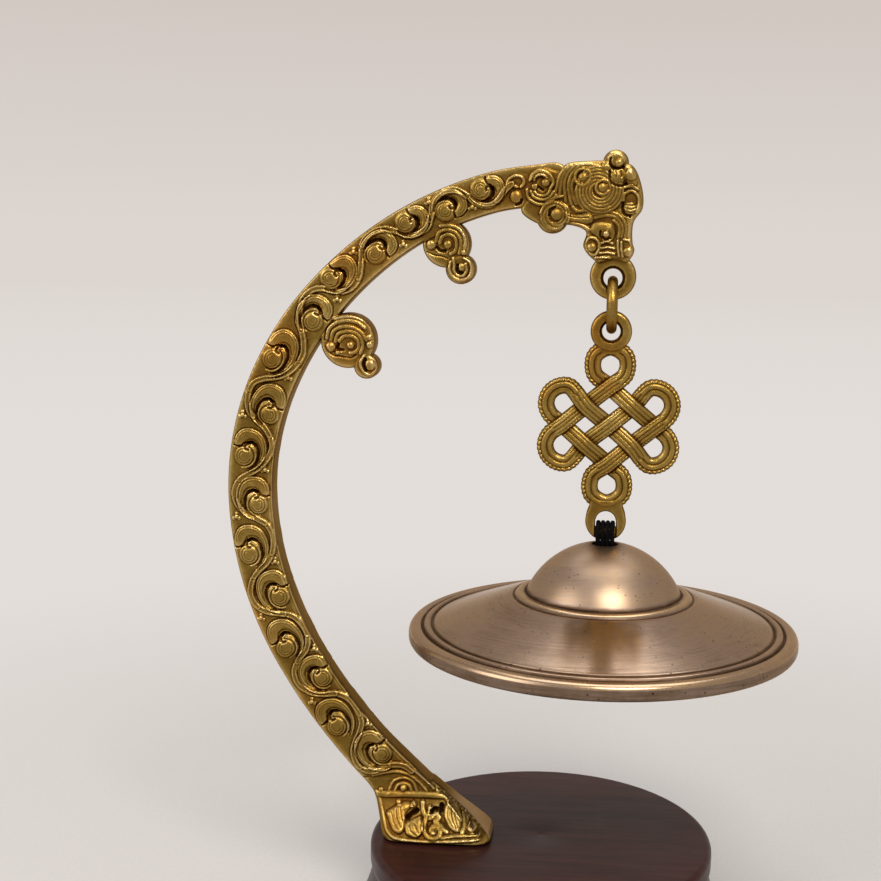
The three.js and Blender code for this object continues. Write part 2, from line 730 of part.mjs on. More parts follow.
function makeGong() {
  const brimSlope = BRIM_TOP_HEIGHT / (INNER_GROOVE_RADIUS - BRIM_TOP_RADIUS);
  const brim = (radius) => (INNER_GROOVE_RADIUS - radius) * brimSlope;
  const arc = (sphere, from, to, steps) => Array.from({ length: steps + 1 }, (_, i) => {
    const angle = from + (to - from) * i / steps;
    return [sphere * Math.sin(angle), domeCentreZ + sphere * Math.cos(angle)];
  });
  const outside = DOME_SPHERE_RADIUS;
  const inside = DOME_SPHERE_RADIUS - GONG_WALL;
  const insideFoot = DOME_FOOT_RADIUS - GONG_WALL;
  const beadEnd = BRIM_TOP_RADIUS + GROOVE_HALF_WIDTH;
  const innerLip = INNER_GROOVE_RADIUS - GROOVE_HALF_WIDTH;
  const profile = [
    // Dome, and the bead round its foot
    ...arc(outside, Math.asin(domeHoleRadius / outside), Math.asin(DOME_FOOT_RADIUS / outside), 9),
    [DOME_FOOT_RADIUS + GROOVE_HALF_WIDTH, BRIM_TOP_HEIGHT + BRIM_BEAD],
    [BRIM_TOP_RADIUS - GROOVE_HALF_WIDTH, BRIM_TOP_HEIGHT + BRIM_BEAD / 2],
    [BRIM_TOP_RADIUS, BRIM_TOP_HEIGHT - GROOVE_LIP],
    // Sloped brim, and the two grooves at its edge
    [beadEnd, brim(beadEnd)],
    [innerLip, brim(innerLip) + GROOVE_LIP / 2],
    [INNER_GROOVE_RADIUS, GROOVE_LIP - RIM_GROOVE_DEPTH],
    [INNER_GROOVE_RADIUS + GROOVE_HALF_WIDTH, GROOVE_LIP],
    [RIM_GROOVE_RADIUS - GROOVE_HALF_WIDTH, GROOVE_LIP],
    [RIM_GROOVE_RADIUS, -RIM_GROOVE_DEPTH],
    [RIM_GROOVE_RADIUS + GROOVE_HALF_WIDTH, 0],
    // Rounded rim
    [GONG_RADIUS - RIM_EDGE_ROUND, 0],
    [GONG_RADIUS - RIM_EDGE_ROUND / 3, -RIM_EDGE_ROUND / 2],
    [GONG_RADIUS, -GONG_RIM_DROP / 2],
    [GONG_RADIUS, GROOVE_HALF_WIDTH - GONG_RIM_DROP],
    [GONG_RADIUS - GROOVE_HALF_WIDTH, -GONG_RIM_DROP],
    // Underside
    [RIM_GROOVE_RADIUS, -GONG_RIM_DROP],
    [INNER_GROOVE_RADIUS, -GONG_WALL],
    [BRIM_TOP_RADIUS, BRIM_TOP_HEIGHT - GONG_WALL - GROOVE_LIP],
    [insideFoot + GROOVE_HALF_WIDTH, BRIM_TOP_HEIGHT - GROOVE_HALF_WIDTH],
    ...arc(inside, Math.asin(insideFoot / inside), Math.asin(domeHoleRadius / inside), 8),
  ];
  return turnedUpright(profile.map(([radius, z]) => [radius, gongZ + z]), 48, eyeX);
}

function addPiece(group, name, geometry, paint) {
  const bare = geometry.clone();
  bare.deleteAttribute('uv');
  bare.computeVertexNormals();
  const mesh = new THREE.Mesh(bare, paint);
  mesh.name = name;
  group.add(mesh);
}

const group = new THREE.Group();
addPiece(group, 'base_felt', makeFelt(), felt());
addPiece(group, 'wooden_base', makeBase(), stainedWood());
SCREW_XS.forEach((x, i) => {
  addPiece(group, `foot_washer_${i + 1}`, makeWasher(x), steel());
  addPiece(group, `foot_screw_${i + 1}`, makeScrew(x), steel());
});
addPiece(group, 'arm', makeArm(), castBrass());
addPiece(group, 'hanging_ring', makeRing(), ringBrass());
addPiece(group, 'endless_knot', makeKnot(), agedBrass());
addPiece(group, 'hanging_cord', makeCord(), blackCord());
addPiece(group, 'cord_stopper', makeStopper(), blackCord());
addPiece(group, 'gong', makeGong(), bronze());

console.log(`Least gap of the cord to itself: ${cordSelfGap().toFixed(3)} mm`);

export default group;
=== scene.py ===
import math

import bpy
import numpy as np
from mathutils import Matrix, Vector


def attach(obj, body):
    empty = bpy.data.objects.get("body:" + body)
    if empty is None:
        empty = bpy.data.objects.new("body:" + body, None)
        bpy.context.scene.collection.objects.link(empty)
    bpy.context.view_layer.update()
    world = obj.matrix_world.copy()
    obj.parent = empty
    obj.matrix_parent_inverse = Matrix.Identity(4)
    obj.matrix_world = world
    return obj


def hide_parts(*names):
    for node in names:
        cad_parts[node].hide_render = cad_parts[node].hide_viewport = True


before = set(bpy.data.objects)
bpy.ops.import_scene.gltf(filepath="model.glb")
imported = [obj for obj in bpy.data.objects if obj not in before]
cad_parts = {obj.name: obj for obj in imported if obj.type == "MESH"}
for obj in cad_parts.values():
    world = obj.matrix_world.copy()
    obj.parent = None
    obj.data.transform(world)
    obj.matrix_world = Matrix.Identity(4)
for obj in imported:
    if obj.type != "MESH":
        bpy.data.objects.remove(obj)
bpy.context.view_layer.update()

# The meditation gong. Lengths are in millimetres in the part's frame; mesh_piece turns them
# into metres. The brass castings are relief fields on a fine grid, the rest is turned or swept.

MM = 0.001
EYE_X = 14.6
BASE_TOP = 25.0
# The photo's side, its camera's focal length and its optical axis, in pixels
FRAME, FOCAL, AXIS_X = 881, 1400, 520
SENSOR = 36.0


def add_object(name, data):
    made = bpy.data.objects.new(name, data)
    bpy.context.scene.collection.objects.link(made)
    return made


# Camera

def make_camera():
    yaw, pitch, roll = math.radians(-3.62), math.radians(8.59), math.radians(-1.20)
    forward = Vector((math.sin(yaw) * math.cos(pitch), math.cos(yaw) * math.cos(pitch),
                      -math.sin(pitch)))
    right = Vector((math.cos(yaw), -math.sin(yaw), 0))
    down = forward.cross(right)
    turned_right = right * math.cos(roll) + down * math.sin(roll)
    turned_down = down * math.cos(roll) - right * math.sin(roll)
    data = bpy.data.cameras.new("camera")
    data.sensor_width = SENSOR
    data.lens = FOCAL / FRAME * SENSOR
    data.shift_x = (FRAME / 2 - AXIS_X) / FRAME
    data.clip_start, data.clip_end = 0.01, 20
    camera = add_object("camera", data)
    place = Matrix((turned_right, -turned_down, -forward)).transposed().to_4x4()
    place.translation = Vector((14.5, -352.3, 184.0)) * MM
    camera.matrix_world = place
    bpy.context.scene.camera = camera


make_camera()


# Meshes and curves

def mesh_piece(name, verts, faces, material, body, replaced=(), wear_and_painted_light=None,
               side=None):
    """A smooth piece from points in millimetres. Its tone attribute is 0 in recesses and 1 on
    high places; it holds patina and rubbed metal together with painted shade and painted light.
    side is 1 on a casting's plain walls."""
    mesh = bpy.data.meshes.new(name)
    verts = np.asarray(verts, np.float32) * MM
    sizes = np.array([len(f) for f in faces], np.int32) if isinstance(faces, list) else (
        np.full(len(faces), faces.shape[1], np.int32))
    corners = np.concatenate([np.asarray(f, np.int32) for f in faces]) if isinstance(
        faces, list) else faces.astype(np.int32).ravel()
    mesh.vertices.add(len(verts))
    mesh.vertices.foreach_set("co", verts.ravel())
    mesh.loops.add(len(corners))
    mesh.loops.foreach_set("vertex_index", corners)
    mesh.polygons.add(len(sizes))
    mesh.polygons.foreach_set("loop_start", np.concatenate([[0], np.cumsum(sizes)[:-1]]))
    mesh.polygons.foreach_set("use_smooth", np.ones(len(sizes), bool))
    mesh.update(calc_edges=True)
    mesh.validate()
    for key, values in (("wear_and_painted_light", wear_and_painted_light), ("side", side)):
        if values is not None:
            mesh.attributes.new(key, "FLOAT", "POINT").data.foreach_set(
                "value", np.asarray(values, np.float32))
    mesh.materials.append(material)
    piece = add_object(name, mesh)
    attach(piece, body)
    if replaced:
        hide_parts(*replaced)
    return piece


def smooth_curve(points, closed=False, per=12):
    """Centripetal Catmull-Rom through the points, as in the CAD."""
    points = np.asarray(points, float)
    if closed:
        ring = np.vstack([points[-1], points, points[:2]])
    else:
        ring = np.vstack([2 * points[0] - points[1], points, 2 * points[-1] - points[-2]])
    made = []
    for p0, p1, p2, p3 in zip(ring, ring[1:], ring[2:], ring[3:]):
        t1 = max(1e-6, np.linalg.norm(p1 - p0)) ** 0.5
        t2 = t1 + max(1e-6, np.linalg.norm(p2 - p1)) ** 0.5
        t3 = t2 + max(1e-6, np.linalg.norm(p3 - p2)) ** 0.5
        t = (t1 + (t2 - t1) * np.arange(per) / per)[:, None]
        a1 = (t1 - t) / t1 * p0 + t / t1 * p1
        a2 = (t2 - t) / (t2 - t1) * p1 + (t - t1) / (t2 - t1) * p2
        a3 = (t3 - t) / (t3 - t2) * p2 + (t - t2) / (t3 - t2) * p3
        b1 = (t2 - t) / t2 * a1 + t / t2 * a2
        b2 = (t3 - t) / (t3 - t1) * a2 + (t - t1) / (t3 - t1) * a3
        made.append((t2 - t) / (t2 - t1) * b1 + (t - t1) / (t2 - t1) * b2)
    if not closed:
        made.append(points[-1:])
    return np.vstack(made)


def resample(path, step, closed=False):
    path = np.vstack([path, path[:1]]) if closed else path
    along = np.concatenate([[0], np.cumsum(np.linalg.norm(np.diff(path, axis=0), axis=1))])
    count = max(2, int(round(along[-1] / step)) + 1)
    at = np.linspace(0, along[-1], count)
    out = np.stack([np.interp(at, along, path[:, i]) for i in range(path.shape[1])], 1)
    return (out[:-1] if closed else out), (at[:-1] if closed else at)


TURNED_OVER = [0, 3, 2, 1]


def grid_faces(rows, sides, closed):
    """Quads between rows of points that each run round, along each row first."""
    i = np.arange(rows if closed else rows - 1)[:, None]
    j = np.arange(sides)[None, :]
    a, b = i * sides + j, i * sides + (j + 1) % sides
    c, d = (i + 1) % rows * sides + (j + 1) % sides, (i + 1) % rows * sides + j
    return np.stack([a, b, c, d], 2).reshape(-1, 4)


def lathe(profile, centre, segments):
    """Turns a (radius, z) outline that runs round its section clockwise seen with +z up."""
    profile = np.asarray(profile, float)
    turn = np.arange(segments) * 2 * math.pi / segments
    x = centre[0] + profile[:, :1] * np.cos(turn)
    y = centre[1] + profile[:, :1] * np.sin(turn)
    z = np.repeat(profile[:, 1:2] + centre[2], segments, 1)
    verts = np.stack([x, y, z], 2).reshape(-1, 3)
    return verts, grid_faces(len(profile), segments, True)[:, TURNED_OVER]


def rounded(outline, cut):
    """Rounds a closed outline's corners over about cut millimetres."""
    points = [np.asarray(p, float) for p in outline]
    for _ in range(3):
        made = []
        for k, p in enumerate(points):
            for arm in (points[k - 1] - p, points[(k + 1) % len(points)] - p):
                long = np.linalg.norm(arm)
                made.append(p + arm * min(cut / max(long, 1e-9), 0.3))
        points, cut = made, cut * 0.4
    return np.array(points)


def tube(path, radius, sides, closed=False, plies=3, pitch=3.0, depth=0.0):
    """A tube along a path, with the lay of its twisted plies in its surface."""
    path = np.asarray(path, float)
    ahead = np.roll(path, -1, 0) - np.roll(path, 1, 0)
    if not closed:
        ahead[0], ahead[-1] = path[1] - path[0], path[-1] - path[-2]
    ahead /= np.linalg.norm(ahead, axis=1)[:, None]
    side = np.empty_like(path)
    first = np.cross(ahead[0], (0, 0, 1)) if abs(ahead[0][2]) < 0.9 else np.cross(
        ahead[0], (1, 0, 0))
    side[0] = first / np.linalg.norm(first)
    for k in range(1, len(path)):
        now = side[k - 1] - ahead[k] * np.dot(side[k - 1], ahead[k])
        side[k] = now / np.linalg.norm(now)
    up = np.cross(ahead, side)
    along = np.concatenate([[0], np.cumsum(np.linalg.norm(np.diff(path, axis=0), axis=1))])
    turn = np.arange(sides) * 2 * math.pi / sides
    lay = np.abs(np.cos(plies / 2 * (turn[None, :] - 2 * math.pi * along[:, None] / pitch)))
    r = (np.asarray(radius) * np.ones(len(path)))[:, None] * (1 - depth + depth * lay)
    verts = (path[:, None] + side[:, None] * (r * np.cos(turn))[..., None]
             + up[:, None] * (r * np.sin(turn))[..., None]).reshape(-1, 3)
    faces = grid_faces(len(path), sides, closed).tolist()
    if not closed:
        last = (len(path) - 1) * sides
        faces += [list(range(sides))[::-1], list(range(last, last + sides))]
    return verts, faces


# Materials

def new_material(name):
    material = bpy.data.materials.new(name)
    material.use_nodes = True
    material.node_tree.nodes.clear()
    return material, material.node_tree


def node(tree, kind, inputs=None, **settings):
    made = tree.nodes.new("ShaderNode" + kind)
    for key, value in settings.items():
        setattr(made, key, value)
    for key, value in (inputs or {}).items():
        if isinstance(value, bpy.types.NodeSocket):
            tree.links.new(value, made.inputs[key])
        else:
            made.inputs[key].default_value = value
    return made


def maths(tree, operation, a, b=0.0, clamp=False):
    return node(tree, "Math", {0: a, 1: b}, operation=operation, use_clamp=clamp).outputs[0]


def vary(tree, tone, field, amount, clamp=False):
    """Adds a noise field, taken about its middle, to a tone."""
    part = maths(tree, "MULTIPLY", maths(tree, "SUBTRACT", field, 0.5), amount)
    return maths(tree, "ADD", tone, part, clamp)


def attribute(tree, name):
    return node(tree, "Attribute", attribute_name=name).outputs["Fac"]


def vectors(tree, operation, a, b=(0, 0, 0)):
    return node(tree, "VectorMath", {0: a, 1: b}, operation=operation).outputs


def round_axis(tree, where):
    """A place's flat part, its distance from the upright axis and its height."""
    parts = node(tree, "SeparateXYZ", {0: where}).outputs
    flat = node(tree, "CombineXYZ", {0: parts[0], 1: parts[1]}).outputs[0]
    return flat, vectors(tree, "LENGTH", flat)["Value"], parts[2]


def ramp(tree, factor, stops):
    made = node(tree, "ValToRGB", {0: factor})
    elements = made.color_ramp.elements
    while len(elements) < len(stops):
        elements.new(0.5)
    for element, (place, colour) in zip(elements, stops):
        element.position = place
        element.color = (*colour, 1) if isinstance(colour, tuple) else (colour,) * 3 + (1,)
    return made.outputs[0]


def noise(tree, vector, scale, detail=3.0, roughness=0.5):
    return node(tree, "TexNoise", {"Vector": vector, "Scale": scale, "Detail": detail,
                                   "Roughness": roughness}).outputs[0]


def place_of(tree, centre=(0, 0, 0), scale=(1, 1, 1)):
    where = node(tree, "TexCoord").outputs["Object"]
    moved = node(tree, "Mapping", {"Vector": where,
                                   "Location": [-c * MM * s for c, s in zip(centre, scale)],
                                   "Scale": scale})
    return moved.outputs[0]


def bump(tree, height, distance, strength=1.0, normal=None):
    inputs = {"Height": height, "Distance": distance, "Strength": strength}
    if normal is not None:
        inputs["Normal"] = normal
    return node(tree, "Bump", inputs).outputs[0]


def finish_material(tree, inputs):
    shader = node(tree, "BsdfPrincipled", inputs)
    node(tree, "OutputMaterial", {0: shader.outputs[0]})


# Share of the brass colours below that is kept
BRASS_DEPTH = 0.93


def make_brass(name):
    """Antique brass: dark brown in the recesses, yellow and smoother where hands rub it. The
    tone it reads also holds painted shade lines, painted highlights and painted light on the
    walls.
    """
    material, tree = new_material(name)
    where = place_of(tree)
    coarse = noise(tree, where, 90, 4)
    fine = noise(tree, where, 900, 4, 0.6)
    mixed = vary(tree, attribute(tree, "wear_and_painted_light"), coarse, 0.45)
    mixed = vary(tree, mixed, fine, 0.22, True)
    stops = [(0.0, (0.036, 0.012, 0.002)), (0.25, (0.125, 0.055, 0.008)),
             (0.5, (0.205, 0.122, 0.023)), (0.75, (0.36, 0.235, 0.058)),
             (1.0, (0.60, 0.44, 0.185))]
    stops = [(p, tuple(c * BRASS_DEPTH for c in colour)) for p, colour in stops]
    rough = ramp(tree, mixed, [(0.0, 0.62), (0.5, 0.40), (1.0, 0.27)])
    # Painted sheen: the walls take this greyer colour for the grey sheen they show at grazing
    # angles.
    plain = ramp(tree, mixed, [(0.1, (0.060, 0.028, 0.010)), (0.5, (0.165, 0.098, 0.042)),
                               (0.8, (0.34, 0.245, 0.165)), (1.0, (0.46, 0.34, 0.24))])
    patch = ramp(tree, noise(tree, where, 55, 4, 0.6), [(0.50, 0.0), (0.66, 0.75)])
    colour = node(tree, "Mix", {0: patch, 6: ramp(tree, mixed, stops),
                                7: (1.10, 0.84, 0.60, 1)},
                  data_type="RGBA", blend_type="MULTIPLY").outputs[2]
    colour = node(tree, "Mix", {0: attribute(tree, "side"), 6: colour, 7: plain},
                  data_type="RGBA").outputs[2]
    finish_material(tree, {
        "Base Color": colour, "Metallic": 1.0,
        "Specular Tint": (0.82, 0.64, 0.42, 1),
        "Roughness": vary(tree, rough, fine, 0.25, True),
        "Normal": bump(tree, fine, 0.0002, 0.7, bump(tree, coarse, 0.0007, 0.5))})
    return material


def make_bronze():
    """Satin bronze turned on a lathe: fine rings, brown tarnish in the grooves, small pits."""
    material, tree = new_material("bronze_turned")
    where = place_of(tree, (EYE_X, 0, 83.3))
    flat, radius, height = round_axis(tree, where)
    along = node(tree, "CombineXYZ", {0: radius, 1: height}).outputs[0]
    rings = noise(tree, along, 2600, 3, 0.7)
    heading = vectors(tree, "NORMALIZE", flat)[0]
    round_it = vectors(tree, "MULTIPLY", heading, (0.0035, 0.0035, 0))[0]
    moved = vectors(tree, "ADD", round_it, (0, 0.2, 0))[0]
    streaks = noise(tree, vectors(tree, "ADD", along, moved)[0], 1500, 4, 0.65)
    bands = noise(tree, along, 260, 2)
    clouds = noise(tree, where, 60, 4)
    fine = noise(tree, where, 700, 5, 0.6)
    pits = node(tree, "TexVoronoi", {"Vector": where, "Scale": 620.0, "Randomness": 1.0})
    sparse = maths(tree, "GREATER_THAN", noise(tree, where, 150, 3), 0.53)
    pit = maths(tree, "MULTIPLY", maths(tree, "LESS_THAN", pits.outputs["Distance"], 0.17),
                sparse)
    # The tone attribute holds the tarnish of the grooves and also painted shade on the rim's
    # side and round the hole.
    tone = attribute(tree, "wear_and_painted_light")
    for field, amount in ((clouds, 0.5), (bands, 0.2), (fine, 0.15), (streaks, 0.45)):
        tone = vary(tree, tone, field, amount)
    tone = maths(tree, "SUBTRACT", tone, maths(tree, "MULTIPLY", pit, 0.3), True)
    colour = ramp(tree, tone, [(0.0, (0.035, 0.018, 0.010)), (0.3, (0.15, 0.096, 0.060)),
                               (0.57, (0.315, 0.232, 0.176)), (0.72, (0.365, 0.255, 0.160)),
                               (1.0, (0.52, 0.36, 0.205))])
    satin = ramp(tree, node(tree, "MapRange", {"Value": radius, "From Min": 0.0,
                                               "From Max": 0.05}).outputs[0],
                 [(0.40, 0.37), (0.47, 0.15), (0.86, 0.15), (0.95, 0.25)])
    rough = maths(tree, "ADD", satin, ramp(tree, tone, [(0.0, 0.30), (0.5, 0.03),
                                                        (1.0, 0.0)]), True)
    normal = bump(tree, rings, 0.00005, 0.22)
    finish_material(tree, {"Base Color": colour, "Metallic": 1.0, "Roughness": rough,
                           "Specular Tint": (0.88, 0.74, 0.60, 1), "Normal": normal})
    return material


def make_wood():
    """Dark stained hardwood under a polish."""
    material, tree = new_material("stained_wood_polished")
    grain_place = place_of(tree, (0, 0, 0), (1, 9, 9))
    streak = noise(tree, grain_place, 38, 6, 0.62)
    pores = noise(tree, place_of(tree, (0, 0, 0), (1, 26, 26)), 120, 3, 0.6)
    cloud = noise(tree, place_of(tree), 22, 3)
    tone = maths(tree, "ADD", maths(tree, "MULTIPLY", streak, 0.7),
                 maths(tree, "MULTIPLY", cloud, 0.5))
    tone = maths(tree, "SUBTRACT", tone, maths(tree, "MULTIPLY", maths(
        tree, "GREATER_THAN", pores, 0.62), 0.10), True)
    colour = ramp(tree, tone, [(0.25, (0.011, 0.0036, 0.0034)), (0.5, (0.025, 0.0078, 0.0070)),
                               (0.72, (0.048, 0.0142, 0.0108)), (0.95, (0.084, 0.026, 0.017))])
    smear = noise(tree, place_of(tree), 45, 4, 0.6)
    finish_material(tree, {
        "Base Color": colour, "Roughness": ramp(tree, smear, [(0.3, 0.30), (0.7, 0.42)]),
        "Specular IOR Level": 0.09, "Coat Weight": 0.09, "Coat Roughness": 0.12,
        "Normal": bump(tree, pores, 0.00015, 0.22, bump(tree, streak, 0.0004, 0.12))})
    return material


def make_cord_material():
    material, tree = new_material("black_cord_fibre")
    where = place_of(tree)
    fibre = noise(tree, where, 3200, 3, 0.7)
    clump = noise(tree, where, 600, 3)
    finish_material(tree, {
        "Base Color": ramp(tree, fibre, [(0.3, (0.0010, 0.0009, 0.0010)),
                                         (0.75, (0.0060, 0.0054, 0.0060))]),
        "Roughness": ramp(tree, clump, [(0.2, 0.62), (0.8, 0.9)]),
        "Specular IOR Level": 0.06, "Normal": bump(tree, fibre, 0.00025, 0.8)})
    return material


def make_felt():
    material, tree = new_material("dark_felt")
    where = place_of(tree)
    fibre = noise(tree, where, 2200, 4, 0.75)
    clump = noise(tree, where, 260, 4)
    tone = maths(tree, "ADD", maths(tree, "MULTIPLY", fibre, 0.6),
                 maths(tree, "MULTIPLY", clump, 0.4))
    finish_material(tree, {
        "Base Color": ramp(tree, tone, [(0.3, (0.010, 0.022, 0.014)),
                                        (0.7, (0.030, 0.060, 0.038))]),
        "Roughness": ramp(tree, clump, [(0.2, 0.85), (0.8, 1.0)]), "Sheen Weight": 0.5,
        "Sheen Roughness": 0.6, "Normal": bump(tree, tone, 0.0006, 0.9)})
    return material


def make_steel():
    material, tree = new_material("zinc_steel")
    where = place_of(tree)
    grain = noise(tree, place_of(tree, (0, 0, 0), (1, 1, 12)), 500, 4, 0.6)
    stain = noise(tree, where, 180, 4)
    finish_material(tree, {
        "Base Color": ramp(tree, stain, [(0.3, (0.30, 0.29, 0.27)), (0.7, (0.58, 0.57, 0.54))]),
        "Metallic": 1.0, "Roughness": ramp(tree, stain, [(0.3, 0.45), (0.7, 0.28)]),
        "Normal": bump(tree, grain, 0.0001, 0.4)})
    return material


brass = make_brass("antique_brass")
ring_brass = make_brass("ring_brass_worn")
bronze = make_bronze()
wood = make_wood()
cord_black = make_cord_material()
felt = make_felt()
steel = make_steel()


# Cord and stopper

CORD_R = 0.6
CORD_PITCH = 1.22
# The arc over the eye's wall, and where the strands stand above and in the dome's hole
ARC_R, ARC_Z = 2.32, 107.767
NECK_Z, NECK_Y, STOP_Y = 104.9, 1.8, 1.3
# The lashing in the dome: the radius of its strand and of each layer, and its two heights
LASHING_R, LAYERS, LAYER_TURNS = 0.55, (3.48, 4.48, 5.04), 4.1
LASHING_LOW, LASHING_HIGH = 97.8, 3.4
LAY = {"plies": 3, "pitch": 2.6, "depth": 0.16}


def cord_route():
    """Four turns over the lower eye's wall, side by side, down through the gong's hole."""
    route = []
    for turn in range(4):
        x = EYE_X + (turn - 1.5) * CORD_PITCH
        leg = [(x, -STOP_Y, 96.2), (x, -STOP_Y, 99), (x, -STOP_Y, 101.6), (x, -1.5, 103.4),
               (x, -NECK_Y, NECK_Z)]
        arc = [(x + 0.1 * (k - 5) / 5, -ARC_R * math.cos(math.radians(18 * k)),
                ARC_Z + ARC_R * math.sin(math.radians(18 * k))) for k in range(11)]
        back = [(px, -py, pz) for px, py, pz in reversed(leg)]
        route += leg + arc + back
        if turn < 3:
            step = CORD_PITCH / 2
            route += [(x + step * 0.35, 0.95, 95.2), (x + step, 0, 94.75),
                      (x + step * 1.65, -0.95, 95.2)]
    return route


def make_cord():
    path, _ = resample(smooth_curve(cord_route(), per=10), 0.13)
    verts, faces = tube(path, CORD_R, 16, **LAY)
    piece = mesh_piece("cord_winding", verts, faces, cord_black, "cord", ["hanging_cord"])
    wraps = []
    for layer, radius in enumerate(LAYERS):
        count = int(LAYER_TURNS * 40)
        for k in range(count):
            t = k / count
            z = LASHING_LOW + (t if layer % 2 == 0 else 1 - t) * LASHING_HIGH
            angle = 2 * math.pi * (LAYER_TURNS * layer + LAYER_TURNS * t)
            wraps.append((EYE_X + radius * math.cos(angle), radius * math.sin(angle), z))
    verts, faces = tube(resample(np.array(wraps), 0.16)[0], LASHING_R, 14, **LAY)
    mesh_piece("cord_lashing", verts, faces, cord_black, "cord", ["cord_stopper"])


make_cord()


# Relief castings

class Relief:
    """A casting as two height fields over the xz plane, with a silhouette distance field."""

    def __init__(self, low, high, step):
        self.step = step
        self.xs = np.arange(low[0], high[0] + step, step)
        self.zs = np.arange(low[1], high[1] + step, step)
        self.x, self.z = np.meshgrid(self.xs, self.zs, indexing="ij")
        self.edge = np.full(self.x.shape, 1e3)
        self.body = np.zeros(self.x.shape)
        self.raised = np.zeros(self.x.shape)
        self.mass = np.zeros(self.x.shape)
        self.calm, self.swell, self.drop, self.plain = np.zeros((4, *self.x.shape))

    def window(self, points, reach):
        points = np.asarray(points, float).reshape(-1, 2)
        low, high = points.min(0) - reach, points.max(0) + reach
        i0, i1 = np.searchsorted(self.xs, (low[0], high[0]))
        j0, j1 = np.searchsorted(self.zs, (low[1], high[1]))
        return slice(i0, i1), slice(j0, j1)

    def to_line(self, win, line):
        """Distance to a polyline, the station of the nearest point and the signed offset."""
        x, z = self.x[win], self.z[win]
        best = np.full(x.shape, 1e9)
        station, offset = np.zeros(x.shape), np.zeros(x.shape)
        gone = 0.0
        for (ax, az), (bx, bz) in zip(line, line[1:]):
            dx, dz = bx - ax, bz - az
            long = math.hypot(dx, dz)
            if long < 1e-9:
                continue
            t = np.clip(((x - ax) * dx + (z - az) * dz) / long ** 2, 0, 1)
            ex, ez = x - ax - t * dx, z - az - t * dz
            d = np.hypot(ex, ez)
            near = d < best
            best = np.where(near, d, best)
            station = np.where(near, gone + t * long, station)
            offset = np.where(near, np.sign(-dz * ex + dx * ez) * d, offset)
            gone += long
        return best, station, offset

    def shape(self, win, distance, thick, fillet=0.7):
        """Adds a flat shape of a half thickness to the silhouette, with rounded edges."""
        inside = np.clip((distance + fillet) / fillet, 0, 1)
        level = np.where(distance < 0, thick - fillet * (1 - np.sqrt(1 - inside ** 2)), 0)
        self.body[win] = np.maximum(self.body[win], level)
        self.edge[win] = np.minimum(self.edge[win], distance)

    def disc(self, centre, radius, thick, fillet=0.7):
        win = self.window([centre], radius + 3)
        d = np.hypot(self.x[win] - centre[0], self.z[win] - centre[1]) - radius
        self.shape(win, d, thick, fillet)

    def outline(self, points, thick, fillet=0.7):
        line = np.vstack([points, points[:1]])
        win = self.window(points, 3)
        d, _, _ = self.to_line(win, line)
        self.shape(win, np.where(self.within(win, line), -d, d), thick, fillet)

    def plump(self, points, high, soft):
        """Swells an outlined area like a leaf, round over a width at its edge."""
        line = smooth_curve(np.asarray(points, float), True, 5)
        line = np.vstack([line, line[:1]])
        win = self.window(line, 0.2)
        d, _, _ = self.to_line(win, line)
        u = np.clip(d / soft, 0, 1)
        level = np.where(self.within(win, line), high * np.sqrt(1 - (1 - u) ** 2), 0)
        self.mass[win] = np.maximum(self.mass[win], level)

    def mound(self, centre, half_x, half_z, high):
        win = self.window([centre], max(half_x, half_z))
        r = np.hypot((self.x[win] - centre[0]) / half_x, (self.z[win] - centre[1]) / half_z)
        self.mass[win] = np.maximum(self.mass[win], high * np.sqrt(np.clip(1 - r ** 2, 0, 1)))

    def within(self, win, line):
        x, z = self.x[win], self.z[win]
        inside = np.zeros(x.shape, bool)
        for (ax, az), (bx, bz) in zip(line, line[1:]):
            if az != bz:
                cross = ax + (z - az) * (bx - ax) / (bz - az)
                inside ^= ((az > z) != (bz > z)) & (x < cross)
        return inside

    def drawn(self, points, curve):
        line = np.asarray(points, float)
        return smooth_curve(line, per=6) if curve and len(line) > 2 else line

    def rib(self, points, half, high, at=0.0, curve=True):
        """Raises a round rib along a curve. With at over 0, two ribs run that far beside it."""
        line = self.drawn(points, curve)
        win = self.window(line, half + at + 0.1)
        d, _, _ = self.to_line(win, line)
        u = np.clip(np.abs(d - at) / half, 0, 1)
        self.lift(win, high * np.sqrt(1 - u ** 2))

    def lift(self, win, level):
        self.raised[win] = np.where(level > 0, np.maximum(self.raised[win], level),
                                    self.raised[win])

    def ball(self, centre, radius, high):
        win = self.window([centre], radius)
        d = np.hypot(self.x[win] - centre[0], self.z[win] - centre[1]) / radius
        self.lift(win, np.where(d < 1, high * np.sqrt(np.clip(1 - d ** 2, 0, 1)), 0))

    def groove(self, points, half, deep, curve=True):
        line = self.drawn(points, curve)
        win = self.window(line, half)
        d, _, _ = self.to_line(win, line)
        u = np.clip(d / half, 0, 1)
        self.raised[win] -= deep * (1 - u ** 2) ** 1.5

    def spiral(self, centre, r0, r1, pitch, high, start, turns):
        """Fine ribs that wind round a centre between two radii."""
        win = self.window([centre], r1 + 0.2)
        dx, dz = self.x[win] - centre[0], self.z[win] - centre[1]
        r, a = np.hypot(dx, dz), np.arctan2(dz, dx)
        phase = (r - r0) / pitch - turns * (a - math.radians(start)) / (2 * math.pi)
        level = high * np.abs(np.sin(math.pi * phase)) ** 0.35
        level *= (r > r0) & (r < r1)
        self.lift(win, level)


def blurred(field, reach):
    """A box blur, twice in each direction."""
    for _ in range(2):
        for axis in (0, 1):
            first, last = np.take(field, [0], axis), np.take(field, [-1], axis)
            padded = np.concatenate([np.repeat(first, reach + 1, axis), field,
                                     np.repeat(last, reach, axis)], axis)
            total = np.cumsum(padded, axis)
            here, width = np.arange(field.shape[axis]), 2 * reach + 1
            field = (np.take(total, here + width, axis) - np.take(total, here, axis)) / width
    return field


WALL_ROWS = (1.0, 0.93, 0.8, 0.55, 0.2, -0.2, -0.55, -0.8, -0.93, -1.0)


